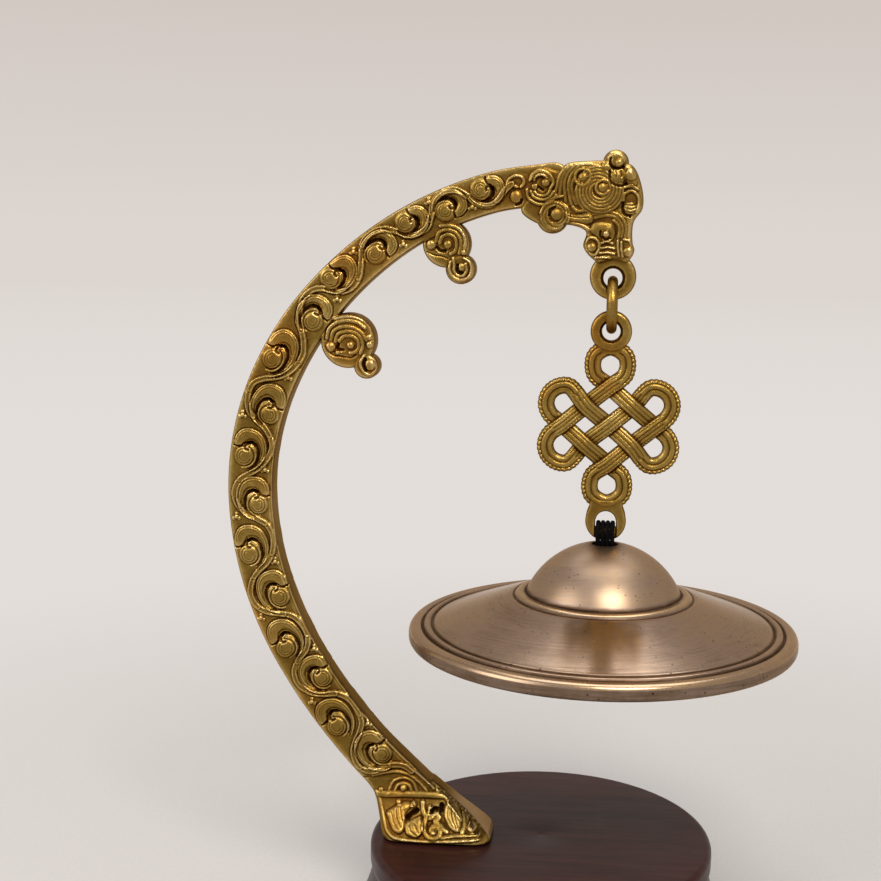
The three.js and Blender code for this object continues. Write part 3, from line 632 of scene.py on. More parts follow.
def read_at(field, x, z, xs, zs):
    """A field's value between its grid points."""
    step = xs[1] - xs[0]
    i = np.clip((x - xs[0]) / step, 0, len(xs) - 1.001)
    j = np.clip((z - zs[0]) / step, 0, len(zs) - 1.001)
    i0, j0 = i.astype(int), j.astype(int)
    u, v = i - i0, j - j0
    return ((field[i0, j0] * (1 - u) + field[i0 + 1, j0] * u) * (1 - v)
            + (field[i0, j0 + 1] * (1 - u) + field[i0 + 1, j0 + 1] * u) * v)


def casting(edge, front, back, xs, zs, bulge, front_wear_and_light, back_wear_and_light, wall_wear_and_light):
    """A closed mesh from a silhouette distance field and its front and back heights."""
    step = xs[1] - xs[0]
    inner = edge + bulge
    gx, gz = np.gradient(inner, step)
    size = np.maximum(np.hypot(gx, gz), 0.3)
    gx, gz = gx / size, gz / size
    inside = inner < 0
    cells = inside[:-1, :-1] | inside[1:, :-1] | inside[1:, 1:] | inside[:-1, 1:]
    i, j = np.nonzero(cells)
    rows = len(zs)
    corner = i * rows + j
    quads = np.stack([corner, corner + rows, corner + rows + 1, corner + 1], 1)
    used, where = np.unique(quads, return_inverse=True)
    quads = where.reshape(quads.shape)
    ui, uj = used // rows, used % rows
    move = np.clip(inner[ui, uj], 0, 1.5 * step)
    x = xs[ui] - gx[ui, uj] * move
    z = zs[uj] - gz[ui, uj] * move
    count = len(used)
    near, far = read_at(front, x, z, xs, zs), read_at(back, x, z, xs, zs)
    verts = [np.stack([x, -near, z], 1), np.stack([x, far, z], 1)]
    wear_and_painted_light = [read_at(front_wear_and_light, x, z, xs, zs), read_at(back_wear_and_light, x, z, xs, zs)]
    faces = [quads, quads[:, ::-1] + count]
    starts, ends = quads.ravel(), np.roll(quads, -1, 1).ravel()
    keys = set(zip(ends.tolist(), starts.tolist()))
    border = np.array([(a, b) for a, b in zip(starts.tolist(), ends.tolist())
                       if (a, b) not in keys])
    rim, spot = np.unique(border, return_inverse=True)
    border = spot.reshape(border.shape)
    nx, nz = gx[ui[rim], uj[rim]], gz[ui[rim], uj[rim]]
    previous, total = rim, 2 * count
    for level in WALL_ROWS[1:-1] + (None,):
        if level is None:
            now = rim + count
        else:
            out = bulge * math.sqrt(1 - abs(level) ** 5)
            depth = np.where(level > 0, near[rim], far[rim])
            verts.append(np.stack([x[rim] + nx * out, -depth * level, z[rim] + nz * out], 1))
            wear_and_painted_light.append(np.broadcast_to(wall_wear_and_light, edge.shape)[ui[rim], uj[rim]])
            now = total + np.arange(len(rim))
            total += len(rim)
        faces.append(np.stack([previous[border[:, 1]], previous[border[:, 0]],
                               now[border[:, 0]], now[border[:, 1]]], 1))
        previous = now
    side = np.arange(sum(len(v) for v in verts)) >= 2 * count
    return np.vstack(verts), np.vstack(faces), np.concatenate(wear_and_painted_light), side


def flare(share):
    """A quarter round from 0 to 1, for a hole that opens towards a face."""
    return np.sqrt(np.clip(1 - (1 - np.clip(share, 0, 1)) ** 2, 0, 1))


def uneven(shape, seed, size=0.035):
    """The slight unevenness that a sand casting keeps."""
    rng = np.random.default_rng(seed)
    made = sum(blurred(rng.standard_normal(shape), reach) * reach for reach in (2, 5))
    return made / made.std() * size


def cavity_wear_and_light(height, step, wide=1.1, gain=0.45, middle=0.52):
    """0 in recesses, 1 on high places, from how a field stands over its surroundings. Besides
    patina in the hollows and rubbed high places, the fine term paints thin shade lines in narrow
    grooves and thin highlight lines on ridge tops.
    """
    near = height - blurred(height, max(1, int(wide / step)))
    fine = height - blurred(height, max(1, int(0.35 / step)))
    return np.clip(middle + gain * near + 2.6 * fine, 0, 1)


# Arm

# (x, height over the base, half width) from the foot to the head
ARM_LINE = [(-29.5, 6, 6.2), (-37.4, 13.5, 6.3), (-47.8, 24.1, 6.1), (-60.2, 40.2, 6.0),
            (-69.9, 58, 6.0), (-75.6, 76.9, 5.9), (-76.8, 96.4, 5.9), (-72.8, 115.2, 5.9),
            (-63.9, 132.7, 5.7), (-50.8, 148, 5.3), (-34.6, 160, 5.0), (-16.2, 167.7, 5.0),
            (-0.8, 170.2, 5.2)]
HEAD_LINE = [(-3.5, 174.2), (0.6, 173.6), (2.6, 175.2), (8, 175.9), (14, 176), (18.6, 174.9),
             (21, 170), (21.4, 164.6), (19.3, 161.2), (19.2, 156.2), (19.7, 154.2),
             (18.2, 151.6), (14.4, 150), (10.2, 151.4), (7, 155), (7.6, 158.6), (3.6, 160.2),
             (-1, 159.8), (-4, 160.2), (-8.6, 163.4), (-6, 168)]
FOOT_LEVELS = [(0, -41.3, -12.8, 10.4), (1.2, -41.6, -12.8, 10.3), (2.4, -42, -13.4, 9.5),
               (4, -42.4, -15.0, 8.2), (5.4, -42.8, -16.7, 7.0), (7.2, -43.3, -18.9, 5.7),
               (9, -43.8, -21.3, 4.6), (11, -44.6, -23.9, 3.7), (13, -46.0, -26.6, 3.2),
               (15, -47.4, -29.2, 2.9)]
FOOT_BAND = [(-43.5, 10.9), (-35.8, 11.1), (-29.9, 11.2), (-24.9, 11.1)]
FOOT_BORDERS = [
    [(-42.7, 9.8), (-41.5, 6.2), (-40.3, 3.3), (-38.5, 1.8), (-35.1, 1.2), (-27.1, 1.1),
     (-21.1, 1.5), (-15.8, 2.0)],
    [(-25.7, 2.0), (-21.2, 2.7), (-16.0, 2.9)],
    [(-25.0, 10.4), (-21.6, 7.2), (-18.9, 4.6), (-17.0, 2.9)],
    # the half rosette and the leaf over the band
    [(-40.2, 12.0), (-39.1, 14.2), (-36.4, 15.2), (-33.9, 14.2), (-32.9, 12.2)],
    [(-38.6, 12.0), (-37.9, 13.3), (-36.4, 13.8), (-34.9, 13.2), (-34.2, 12.0)],
    [(-46.2, 17.3), (-42.7, 17.7), (-37.7, 18.5), (-34.3, 17.7), (-31, 15.3), (-28.4, 12.8)],
    [(-44.6, 15.6), (-42.2, 16.2), (-38.4, 16.9), (-35.2, 16.2), (-32.2, 14.2),
     (-30.2, 12.2)]]
# (outline, height, width of its rounded edge) of the panel's plump leaves
FOOT_LEAVES = [
    ([(-35.9, 9.4), (-39.0, 8.0), (-40.6, 6.7), (-39.8, 5.2), (-38.9, 3.6), (-37.8, 2.8),
      (-36.4, 2.5), (-35.5, 3.2), (-35.1, 4.7), (-35.4, 6.3), (-34.4, 7.8), (-33.1, 8.5),
      (-34.2, 9.3)], 0.9, 1.3),
    ([(-35.3, 4.7), (-34.9, 2.7), (-33.5, 2.0), (-32.0, 1.8), (-30.8, 2.5), (-30.3, 3.7),
      (-30.5, 5.1), (-31.3, 6.3), (-32.7, 6.0), (-34.2, 5.3)], 1.0, 1.4),
    ([(-24.3, 10.6), (-25.3, 8.5), (-25.3, 6.6), (-24.0, 4.6), (-22.3, 3.4), (-21.1, 3.3),
      (-20.5, 4.9), (-20.5, 6.6), (-21.7, 8.5), (-23.1, 10.2)], 1.0, 1.4)]
FOOT_RIBS = [
    [(-31.1, 9.4), (-30.8, 7.7), (-30.0, 6.7), (-29.0, 7.2), (-29.0, 8.3)],
    [(-29.9, 6.0), (-30.2, 4.1), (-29.3, 2.5), (-27.6, 1.9), (-26.0, 2.6), (-26.0, 3.8),
     (-27.3, 4.5), (-28.3, 3.8), (-27.9, 3.1)],
    [(-28.7, 6.1), (-27.2, 7.2), (-26.5, 6.3), (-27.4, 5.5), (-26.0, 4.7), (-24.2, 3.5)],
    [(-19.9, 7.1), (-19.5, 5.3), (-20.1, 3.6)]]
FOOT_VEINS = [
    [(-39.2, 7.1), (-38.3, 5.2), (-36.9, 3.6)], [(-37.9, 7.7), (-37.4, 5.8), (-36.2, 4.2)],
    [(-36.8, 8.2), (-36.5, 6.7), (-35.9, 5.6)], [(-34.0, 4.5), (-33.3, 3.3), (-32.2, 2.6)],
    [(-32.8, 5.0), (-32.0, 3.9), (-31.5, 3.1)], [(-24.3, 8.5), (-24.2, 6.6), (-22.6, 4.4)],
    [(-23.3, 8.6), (-23.1, 6.6), (-21.8, 4.4)], [(-22.3, 7.8), (-22.2, 6.3), (-21.3, 4.7)]]
FOOT_HOLLOWS = [[(-34.7, 5.9), (-33.8, 6.7), (-32.5, 7.4)],
                [(-28.5, 7.5), (-27.8, 7.9), (-27.2, 7.8)], [(-26.1, 8.8), (-26.2, 7.7)]]
# (x, height, radius, rise)
FOOT_BALLS = [(-17.8, 4.6, 1.2, 0.95), (-19.0, 8.3, 0.6, 0.5), (-27.6, 3.3, 0.85, 0.95),
              (-36.4, 12.6, 1.0, 0.8), (-33.5, 8.9, 0.9, 0.8), (-37.4, 9.2, 0.8, 0.6),
              (-42.4, 11.9, 0.7, 0.5), (-27.2, 12.4, 0.7, 0.5)]
# Station along the arm's line and offset to the outer side of each vine scroll's middle
SCROLLS = [(21.7, -1.4), (35.05, 1.0), (47.8, -1.7), (59.2, 0.75), (72.7, -1.5), (85.4, 1.2),
           (98.2, -1.0), (110.7, 0.9), (122.6, -1.3), (136.6, 1.3), (150.3, -0.5),
           (160.9, 1.3), (174.0, 0.0), (184.0, 0.6), (194.3, 0.3), (204.2, 0.6)]
# (station, offset) along the middle of the double stem
STEM = [(11.3, -4.8), (13.6, -4.4), (15.8, -2.6), (17.2, 0.8), (19.1, 3.6), (21.9, 4.6),
        (25.2, 3.3), (27.2, 0.8), (28.3, -1.4), (30.2, -3.9), (34.1, -5.2), (38, -5.0),
        (40.8, -3.1), (42.4, -0.3), (44.7, 2.4), (48, 3.8), (51.3, 3), (53.6, 0.2),
        (55.2, -3.1), (58, -4.9), (61.3, -5.1), (64.8, -3.8), (67, -0.4), (68.1, 1.8),
        (70.3, 4.0), (73.7, 4.7), (77, 3.2), (79.2, 0.7), (80.9, -2.1), (83.7, -4.1),
        (87.6, -4.9), (90.9, -3.8), (93.1, -1.0), (94.8, 1.8), (97.6, 3.7), (100.3, 4.0),
        (103.1, 2.6), (104.8, 0.1), (106.4, -2.1), (109.2, -4.1), (113.1, -4.9),
        (116.2, -3.3), (117.9, -1.3), (119.3, 1.1), (120.4, 2.8), (123.2, 4.2),
        (127.1, 4.2), (129.3, 2.2), (131, -0.6), (133.2, -2.8), (136.6, -4.0),
        (139.9, -4.0), (142.7, -2.5), (146, 0.6), (148.8, 2.8), (151.6, 3.9), (154.9, 3.3),
        (157.1, 1.1), (158.8, -1.7), (161.6, -3.3), (164.9, -2.8), (167.7, -0.6),
        (170, 2.1), (172.2, 3.5), (175, 3.7), (177.8, 2.7), (180, 0.4), (181.7, -1.8),
        (184.4, -2.6), (187.2, -2.3), (189.4, -0.1), (191.1, 2.4), (193.9, 3.7),
        (197.2, 3.2), (199.4, 1.0), (201.1, -1.5), (203.9, -2.9), (206.7, -2.1),
        (208.9, -0.1), (210.6, 1.0)]
# A scroll's leaf, (along, towards the stem): round the stem side first, then the inner edge
LEAF = [(0.8, -3.9), (2.2, -4.4), (3.9, -4.0), (5.6, -2.6), (6.2, -0.3), (5.7, 1.9),
        (4.5, 3.5), (2.7, 4.5), (0.2, 4.9), (-2.4, 4.3), (-4.5, 2.8), (-6.0, 0.2),
        (-4.7, 1.2), (-3.5, 2.5), (-2.0, 3.3), (0.0, 3.35), (1.9, 2.6), (3.1, 1.1),
        (3.0, -0.5), (2.0, -1.5), (0.95, -2.2)]
HOLLOW = [(-4.6, 0.2), (-3.4, 1.85), (-1.6, 2.6), (0.3, 2.45), (1.7, 1.5), (2.25, 0.3),
          (1.9, -0.7)]
# The notch beside the leaf's rolled tip, the hook where the hollow ends, and the tip's middle
NOTCH = [(0.75, -4.2), (0.75, -3.0), (1.1, -2.1), (1.9, -1.4)]
HOOK = [(2.2, 0.1), (1.9, -0.9), (1.1, -1.3), (0.3, -0.9), (0.2, -0.2)]
TIP = (-1.6, -1.1)
BEADS = [(-54.3, 165.6), (-37.7, 179.6), (-20.6, 189.1), (-50.2, 177.5), (-31.4, 190.1),
         (-66.9, 145.4), (-78.7, 135.6), (-73.0, 121.5), (-80.6, 109.0), (-70.5, 97.4),
         (-74.3, 82.3), (-60.3, 74.5), (-60.9, 60.1), (-46.0, 54.7)]


class Arm(Relief):
    def __init__(self, step):
        super().__init__((-84.5, 24.0), (23.5, 205.5), step)
        line = np.array(ARM_LINE)
        self.line, self.at = resample(smooth_curve(line, per=24), 0.8)
        self.line[:, 1] += BASE_TOP
        self.win = self.window(self.line[:, :2], 7)
        d, self.s, self.t = self.to_line(self.win, self.line[:, :2])
        self.band = d - np.interp(self.s, self.at, self.line[:, 2])

    def point(self, s, t):
        """The xz place of a station and an offset to the outer side."""
        line_at = lambda where, axis: np.interp(where, self.at, self.line[:, axis])
        dx = line_at(s + 0.5, 0) - line_at(s - 0.5, 0)
        dz = line_at(s + 0.5, 1) - line_at(s - 0.5, 1)
        long = math.hypot(dx, dz)
        return line_at(s, 0) - dz / long * t, line_at(s, 1) + dx / long * t

    def local(self, k, points):
        """Places a scroll's own (along, towards the stem) points on the arm."""
        s, t = SCROLLS[k]
        side = 1 if k % 2 == 0 else -1
        ahead = SCROLLS[min(k + 1, 15)][0] - SCROLLS[min(k, 14)][0]
        behind = SCROLLS[max(k, 1)][0] - SCROLLS[max(k - 1, 0)][0]
        wide = float(np.interp(s, self.at, self.line[:, 2])) / 6.15
        return [self.point(s + a * (ahead if a > 0 else behind) / 12.8,
                           t + side * b * wide) for a, b in points]

    def scroll(self, k):
        """One curled leaf: the lines along its edge, the hollow inside it and its rolled tip."""
        leaf = self.local(k, LEAF)
        self.plump(leaf, 0.6, 1.2)
        outside = smooth_curve(leaf[1:12], per=6)
        self.groove(outside, 0.26, 0.26, curve=False)
        self.groove(self.inset(outside, leaf, 0.62), 0.2, 0.2, curve=False)
        self.groove(self.inset(outside[6:-10], leaf, 1.25), 0.17, 0.14, curve=False)

        def arc(radius, low, high):
            return [(TIP[0] + radius * math.cos(q), TIP[1] + radius * math.sin(q))
                    for q in np.radians(range(low, high, 17))]

        def cut(*lines):
            for line, half, deep in lines:
                self.groove(self.local(k, line), half, deep)

        cut((HOLLOW, 0.5, 0.6), (HOLLOW[4:], 0.66, 0.4))
        self.rib(self.local(k, arc(3.0, 30, 200)), 0.3, 0.22)
        self.ball(self.local(k, [TIP])[0], 2.6, 0.78)
        cut((arc(2.62, 20, 200), 0.24, 0.2), (NOTCH, 0.32, 0.5), (HOOK, 0.42, 0.5),
            (arc(1.85, -250, 10), 0.22, 0.19), (arc(1.15, -210, -20), 0.2, 0.15))

    def inset(self, path, outline, by):
        """Moves a path by a distance towards the middle of an outline."""
        path = np.asarray(path)
        turn = np.gradient(path, axis=0)
        turn /= np.linalg.norm(turn, axis=1)[:, None]
        normal = np.stack([-turn[:, 1], turn[:, 0]], 1)
        middle = np.mean(outline, 0)
        facing = np.sum((middle - path) * normal, 1).mean()
        return path + normal * by * (1 if facing > 0 else -1)

    def stem(self):
        path = smooth_curve(STEM, per=5)
        path = np.array([self.point(s, t) for s, t in path])
        for start in range(0, len(path) - 1, 12):
            part = path[start:start + 13]
            self.groove(part, 1.25, 0.3, curve=False)
            self.rib(part, 0.95, 0.42, curve=False)
            self.rib(part, 0.27, 0.62, at=0.5, curve=False)


def crescent(arm):
    arm.shape(arm.win, arm.band, 3.0, 0.55)
    arm.stem()
    for k in range(len(SCROLLS)):
        arm.scroll(k)
    for low, high in ((14, 120), (136, 168), (184, 204)):
        edge = [arm.point(s, -5.2) for s in range(low, high, 2)]
        arm.groove(edge, 0.24, 0.22, curve=False)
    for x, z in BEADS:
        arm.ball((x, z), 0.62, 0.62)
        for turn in (90, 210, 330):
            q = math.radians(turn)
            arm.ball((x + 0.8 * math.cos(q), z + 0.8 * math.sin(q)), 0.5, 0.36)


def raise_by(points):
    return [(x, h + BASE_TOP) for x, h in points]


def ribs(arm, half, high, *lines):
    for line in lines:
        arm.rib(raise_by(line), half, high)


def grooves(arm, half, deep, *lines):
    for line in lines:
        arm.groove(raise_by(line), half, deep)


def balls(arm, *places):
    """(x, height, radius, rise) of each bead, on top of what lies under it."""
    for x, h, radius, rise in places:
        arm.ball((x, h + BASE_TOP), radius, rise)


def curls(arm):
    disc, hook = raise_by([(-51.7, 130.2), (-47.0, 123.8)])
    arm.disc(disc, 7.0, 3.1, 1.0)
    arm.disc(hook, 3.2, 3.3, 1.1)
    disc, hook = raise_by([(-27.0, 155.0), (-23.4, 148.8)])
    arm.disc(disc, 6.0, 3.0, 1.0)
    arm.disc(hook, 3.8, 3.2, 1.2)
    ribs(arm, 0.5, 0.42,
         [(-53.8, 130.2), (-52.6, 131.3), (-50.5, 131.4), (-49.1, 130.3), (-48.9, 128.5),
          (-49.8, 127.4), (-51, 127.2)],
         [(-54.8, 130), (-54.2, 131.8), (-52, 132.6), (-49.8, 132.3), (-48.3, 131),
          (-47.8, 129), (-48.4, 127.2)],
         [(-55.9, 130.4), (-55.2, 132.6), (-53, 133.7), (-50.4, 133.6), (-48.2, 132.4),
          (-46.9, 130.6)],
         [(-57, 130.8), (-56.4, 133.1), (-54.3, 134.8), (-52, 135.3), (-49.3, 134.9),
          (-47.3, 133.6)],
         [(-55.2, 135.8), (-51.5, 136.4), (-48.4, 135.9), (-46.1, 134.2), (-45.2, 132)],
         [(-28.6, 155.2), (-28, 156.7), (-26.5, 157.3), (-25, 156.6), (-24.4, 155),
          (-24.7, 153.3), (-25.8, 152.5)],
         [(-29.5, 155.6), (-28.9, 157.6), (-27.2, 158.4), (-25, 158), (-23.6, 156.5),
          (-23.3, 154.5), (-23.7, 152.7)],
         [(-28.5, 159.3), (-26.6, 159.5), (-24.4, 159), (-22.7, 157.4), (-22.2, 155.3),
          (-22.5, 153.9)])
    ribs(arm, 0.45, 0.5,
         [(-47.5, 126.5), (-48.4, 124.7), (-47.6, 122.7), (-46, 121.8), (-44.4, 122.6),
          (-43.9, 124.8), (-44.9, 126.5)],
         [(-25.9, 150.6), (-26.1, 148.7), (-25.1, 146.9), (-23.2, 146.1), (-21.3, 146.8),
          (-20.5, 148.7), (-21, 150.7), (-22.5, 151.6)],
         [(-25.2, 151.5), (-24.9, 149.6), (-24.9, 148.4), (-23.9, 147.2), (-22.5, 147.3),
          (-21.8, 148.6), (-22.1, 150.1)])
    balls(arm, (-50.9, 129.1, 1.0, 0.7), (-56, 128.6, 1.35, 0.85), (-54.2, 127.2, 0.6, 0.5),
          (-46, 129.3, 1.0, 0.65), (-46.2, 131.2, 0.8, 0.5), (-45.9, 124.3, 1.5, 0.7),
          (-26.6, 154.8, 1.1, 0.7), (-30.7, 154.7, 1.3, 0.85), (-22.6, 152.9, 0.75, 0.55),
          (-23.1, 149.3, 1.1, 0.7))
    grooves(arm, 0.55, 0.6, [(-54, 129.3), (-54.2, 128.2), (-52.8, 127.9)],
            [(-29.2, 154), (-28.4, 153.3), (-27.2, 153.2)],
            [(-24, 149.8), (-24, 148.4), (-23.1, 148)],
            [(-47.2, 125.8), (-47.4, 124.4), (-46.9, 122.9)])
    grooves(arm, 0.3, 0.35,
            [(-57.4, 128.6), (-55.6, 126.6), (-53, 126.2), (-50.8, 126), (-49.6, 126.6)],
            [(-31.8, 153), (-30, 152.2), (-27.9, 151.9), (-26.6, 151.4)],
            [(-57.6, 130.3), (-57.3, 132.9), (-55.3, 135.3)])


def head(arm):
    outline = raise_by(smooth_curve(HEAD_LINE, True, 6))
    arm.outline(np.array(outline), 3.2, 0.9)
    arm.disc(*raise_by([(-0.8, 161.9)]), 3.9, 3.15, 1.1)
    arm.disc(*raise_by([(14.5, 175.5)]), 3.2, 3.3, 1.4)
    # masses first: brow and spiral, snout, tongue, cheeks, knob
    arm.mound(raise_by([(10.8, 169.2)])[0], 6.2, 6.0, 0.55)
    arm.mound(raise_by([(0.0, 162.4)])[0], 4.2, 3.9, 0.35)
    arm.plump(raise_by([(-6.3, 170.8), (-5.9, 172.2), (-4.6, 173), (-2.9, 172.9),
                        (-1.6, 171.9), (-1.1, 170.4), (-2.2, 171.2), (-3.6, 171.7),
                        (-5, 171.4)]), 0.6, 0.8)
    arm.plump(raise_by([(9.4, 160.9), (12, 161.3), (14.3, 160.6), (14.9, 158.5),
                        (14, 156.5), (12.6, 156.1), (11.4, 156.9), (9.8, 157.7),
                        (8.6, 159)]), 0.9, 2.2)
    arm.plump(raise_by([(2.2, 163.7), (4, 162.8), (6, 162.9), (8.4, 163.2), (9.4, 162.2),
                        (9.1, 160.9), (8, 160.5), (5.4, 161), (2.8, 161.3)]), 0.65, 1.2)
    arm.plump(raise_by([(16.7, 175), (18.4, 174.5), (19.6, 172.2), (19.7, 170.2),
                        (17.8, 170.2), (16.8, 171.6)]), 0.6, 1.6)
    ribs(arm, 0.44, 0.34,
         # the mane down the left
         [(2.3, 174.6), (0.8, 172), (0.2, 169.4), (-0.4, 167.6)],
         [(3.5, 174.9), (1.7, 172.4), (1.1, 169.6), (0.9, 167.4)],
         [(4.7, 174.9), (2.6, 172.5), (2, 170), (2.2, 167.6), (2.4, 166)],
         [(5.6, 174.8), (3.6, 172.2), (3, 169.7), (3.3, 167.4), (3.9, 165.2)],
         [(4.4, 171.6), (3.8, 169.8), (4.1, 167.4), (5, 165.4)],
         [(5.2, 169.6), (4.8, 168.2), (5.2, 166.2), (6.4, 164.8)],
         # over the top, from the bead to the knob
         [(5.6, 174.9), (8.5, 175), (10.8, 174.3), (12.2, 172.9)],
         [(6.4, 174.2), (8.8, 174.2), (10.7, 173.5), (11.9, 172.6)],
         # long parallel folds of the jaw
         [(9.3, 163), (12, 163.7), (14.6, 163.3), (16.6, 161.9), (17.5, 159.8),
          (17.3, 157.7)],
         [(9.8, 162.1), (12.5, 162.7), (14.6, 162.4), (16, 161.1), (16.7, 159.3),
          (16.4, 157.7)],
         [(14.4, 161.5), (15.5, 160.5), (15.9, 159), (15.6, 157.5)],
         [(18.6, 162), (19, 158.7), (18.5, 156.6)],
         [(17.8, 162.4), (18.3, 160), (18, 157.6)],
         [(4.2, 164.6), (5.2, 163.7), (7, 163.8), (8.9, 163.9)],
         [(4.2, 160.4), (6.6, 160.1), (8.4, 159.2)],
         [(12.4, 166.2), (14.4, 166.8), (15.6, 168.4)])
    arm.spiral(raise_by([(10.6, 168.7)])[0], 1.6, 6.0, 0.82, 0.4, 20, 3)
    arm.spiral(raise_by([(0.0, 162.4)])[0], 1.7, 3.7, 0.85, 0.34, 40, 2)
    ribs(arm, 0.44, 0.52,
         [(12.9, 168.6), (11.8, 167.8), (10.5, 168), (9.8, 169.2), (10.2, 170.6),
          (11.6, 171.3), (13.1, 170.9)],
         [(4.7, 170.9), (4.6, 172.4), (5.6, 173.7), (7.1, 173.8), (8.3, 172.8),
          (8.3, 171.2), (7.3, 170.1), (5.8, 169.9), (4.7, 170.9)],
         # the scroll on the right
         [(16.5, 166.2), (16.9, 168), (18.5, 168.8), (20.1, 167.7), (20.4, 165.6),
          (20, 163.6)],
         [(16.8, 169.7), (18.6, 169.9), (20, 169.2)],
         # the ring of the lower left ball
         [(7.4, 156), (8.4, 157.2), (10, 157), (10.9, 155.9), (10.9, 154.3), (10.1, 153.2),
          (8.7, 153.1), (7.7, 154)],
         # the lobe and the vine's last curls
         [(1.6, 167.2), (-0.6, 166.6), (-2.6, 165.2), (-3.7, 163)],
         [(-6.5, 170.9), (-6, 172.3), (-4.6, 173.2), (-2.8, 173.1), (-1.4, 172.1),
          (-0.7, 170.4), (-1.4, 169)],
         [(-7.2, 168.6), (-6.8, 166.7), (-5, 165.4), (-2.8, 165.1), (-1, 165.9),
          (0.1, 167.4)],
         [(-6.2, 168.2), (-5.6, 167), (-4.4, 166.4), (-2.6, 166.3), (-1.2, 167.2),
          (-0.6, 168.2)],
         [(-5.3, 168.2), (-4.5, 167.4), (-3.2, 167.2), (-2, 167.7), (-1.5, 168.5)],
         [(-12.3, 169), (-11.7, 171), (-10.1, 171.9), (-8.5, 171.6), (-7.9, 170.3),
          (-8.7, 169.2)],
         [(-13.4, 167.6), (-12.2, 168.9), (-10.8, 169.6), (-9.6, 169.2)])
    ribs(arm, 0.36, 0.5,
         [(-5.4, 171), (-4.5, 172.1), (-3, 172.1), (-2.3, 171.5)],
         [(11.6, 156), (12.9, 156.3), (14.3, 155.9)],
         [(11.4, 154.7), (13, 155), (14.7, 154.7)],
         [(11.2, 153.5), (13, 153.7), (14.8, 153.4)],
         [(10.2, 152.3), (12, 152.5), (13.8, 152.2)],
         [(15.5, 156.7), (15.6, 154.8), (15.9, 152.9)],
         [(16.4, 156.3), (16.5, 154.6), (16.8, 152.8)],
         [(17, 157), (18.4, 156.6), (19, 155.6)])
    balls(arm, (11.5, 169.4, 1.25, 0.7), (6.5, 171.9, 1.2, 0.7), (14.6, 176.8, 2.4, 0.7),
          (15.2, 175.5, 1.15, 1.0), (15.3, 172.4, 1.9, 0.75), (18.2, 172.7, 1.5, 0.7),
          (18.4, 164.7, 1.6, 0.75), (12.6, 158.2, 0.9, 0.8), (9.2, 154.9, 1.2, 0.7),
          (18.2, 153.9, 1.3, 0.65), (0.3, 162.7, 1.5, 0.7), (-2.6, 170.4, 1.1, 0.65),
          (-5.3, 169.4, 0.85, 0.7), (-9.8, 166.9, 1.6, 0.75), (12.2, 174.7, 1.3, 0.6))
    grooves(arm, 0.4, 0.55,
            [(13.2, 176.6), (13.1, 175.3), (13.9, 174.4), (15.2, 174.2), (16.4, 174.6)],
            [(13.1, 173.6), (13.1, 171.6), (14, 170.4), (16, 170), (17.2, 170.6)],
            [(16.6, 166), (16.4, 164.4), (17, 163.1), (18.4, 162.7)],
            [(11.2, 158.9), (11.2, 157.6), (12.2, 157), (13.6, 157.2)],
            [(-4.4, 169.4), (-3.8, 169), (-3.2, 168.6)],
            [(-8.4, 166.2), (-8.6, 165.4), (-9.8, 164.9)],
            [(-1.6, 162.4), (-1.3, 163.8), (0, 164.6)])
    grooves(arm, 0.22, 0.3,
            [(17.2, 165.6), (18.4, 165.2), (19.6, 165.6)],
            [(17.1, 164.7), (18.4, 164.3), (19.7, 164.7)],
            [(17.4, 163.8), (18.4, 163.5), (19.4, 163.8)],
            [(10.4, 170.3), (11.3, 170.7), (12.3, 170.3)],
            [(3.2, 162.4), (5.8, 162), (8.2, 162.1)],
            [(14.4, 173.6), (14.7, 172.8), (14.6, 172)],
            [(15.8, 173.6), (16, 172.8), (15.9, 172)])


ARM_EYE_HEIGHT, ARM_HOLE = 147.4, 2.35


def arm_eye(arm):
    centre = (EYE_X, ARM_EYE_HEIGHT + BASE_TOP)
    arm.disc((centre[0], centre[1] + 0.4), 5.8, 2.7, 0.9)
    return centre


def foot(arm):
    """The flared foot: its depth grows downwards and its front is nearly flat."""
    levels = np.array(FOOT_LEVELS)
    win = arm.window([(-50, 24), (-10, BASE_TOP + 15)], 1)
    x, z = arm.x[win], arm.z[win]
    h = np.clip(z - BASE_TOP, 0, 15)
    left, right, deep = (np.interp(h, levels[:, 0], levels[:, k]) for k in (1, 2, 3))
    middle, half = (left + right) / 2, (right - left) / 2
    u = np.abs(x - middle) / half
    side = (u - 1) * half * 0.78
    d = np.maximum(np.maximum(side, BASE_TOP + 0.3 - z), z - (BASE_TOP + 14.8))
    level = blurred(deep * (1 - np.clip(u, 0, 0.965) ** 8) ** 0.25, 2)
    rear = blurred(deep * (1 - np.clip(u, 0, 0.965) ** 2.4) ** 0.5, 2)
    rear = np.minimum(level, rear + (level - rear) * np.clip((h - 9) / 5, 0, 1))
    arm.swell[win] = np.where(d < 0, level - 3.0, 0)
    arm.drop[win] = np.where(d < 0.6, level - rear, 0)
    arm.plain[win] = np.clip((u - 0.6) / 0.22, 0, 1) * (d < 0.6) * np.clip((14.6 - h) / 2, 0, 1)
    arm.body[win] = np.maximum(arm.body[win], np.where(d < 0, level, 0))
    arm.edge[win] = np.minimum(arm.edge[win], d)
    # Towards the corners the ornament and its wear give way to the plain, rounded side.
    turned = np.clip((u - 0.91) / 0.05, 0, 1) * (d < 0.6) * (h < 14.6)
    arm.calm[win] = np.maximum(arm.calm[win], turned * np.clip((14.6 - h) / 1.2, 0, 1))


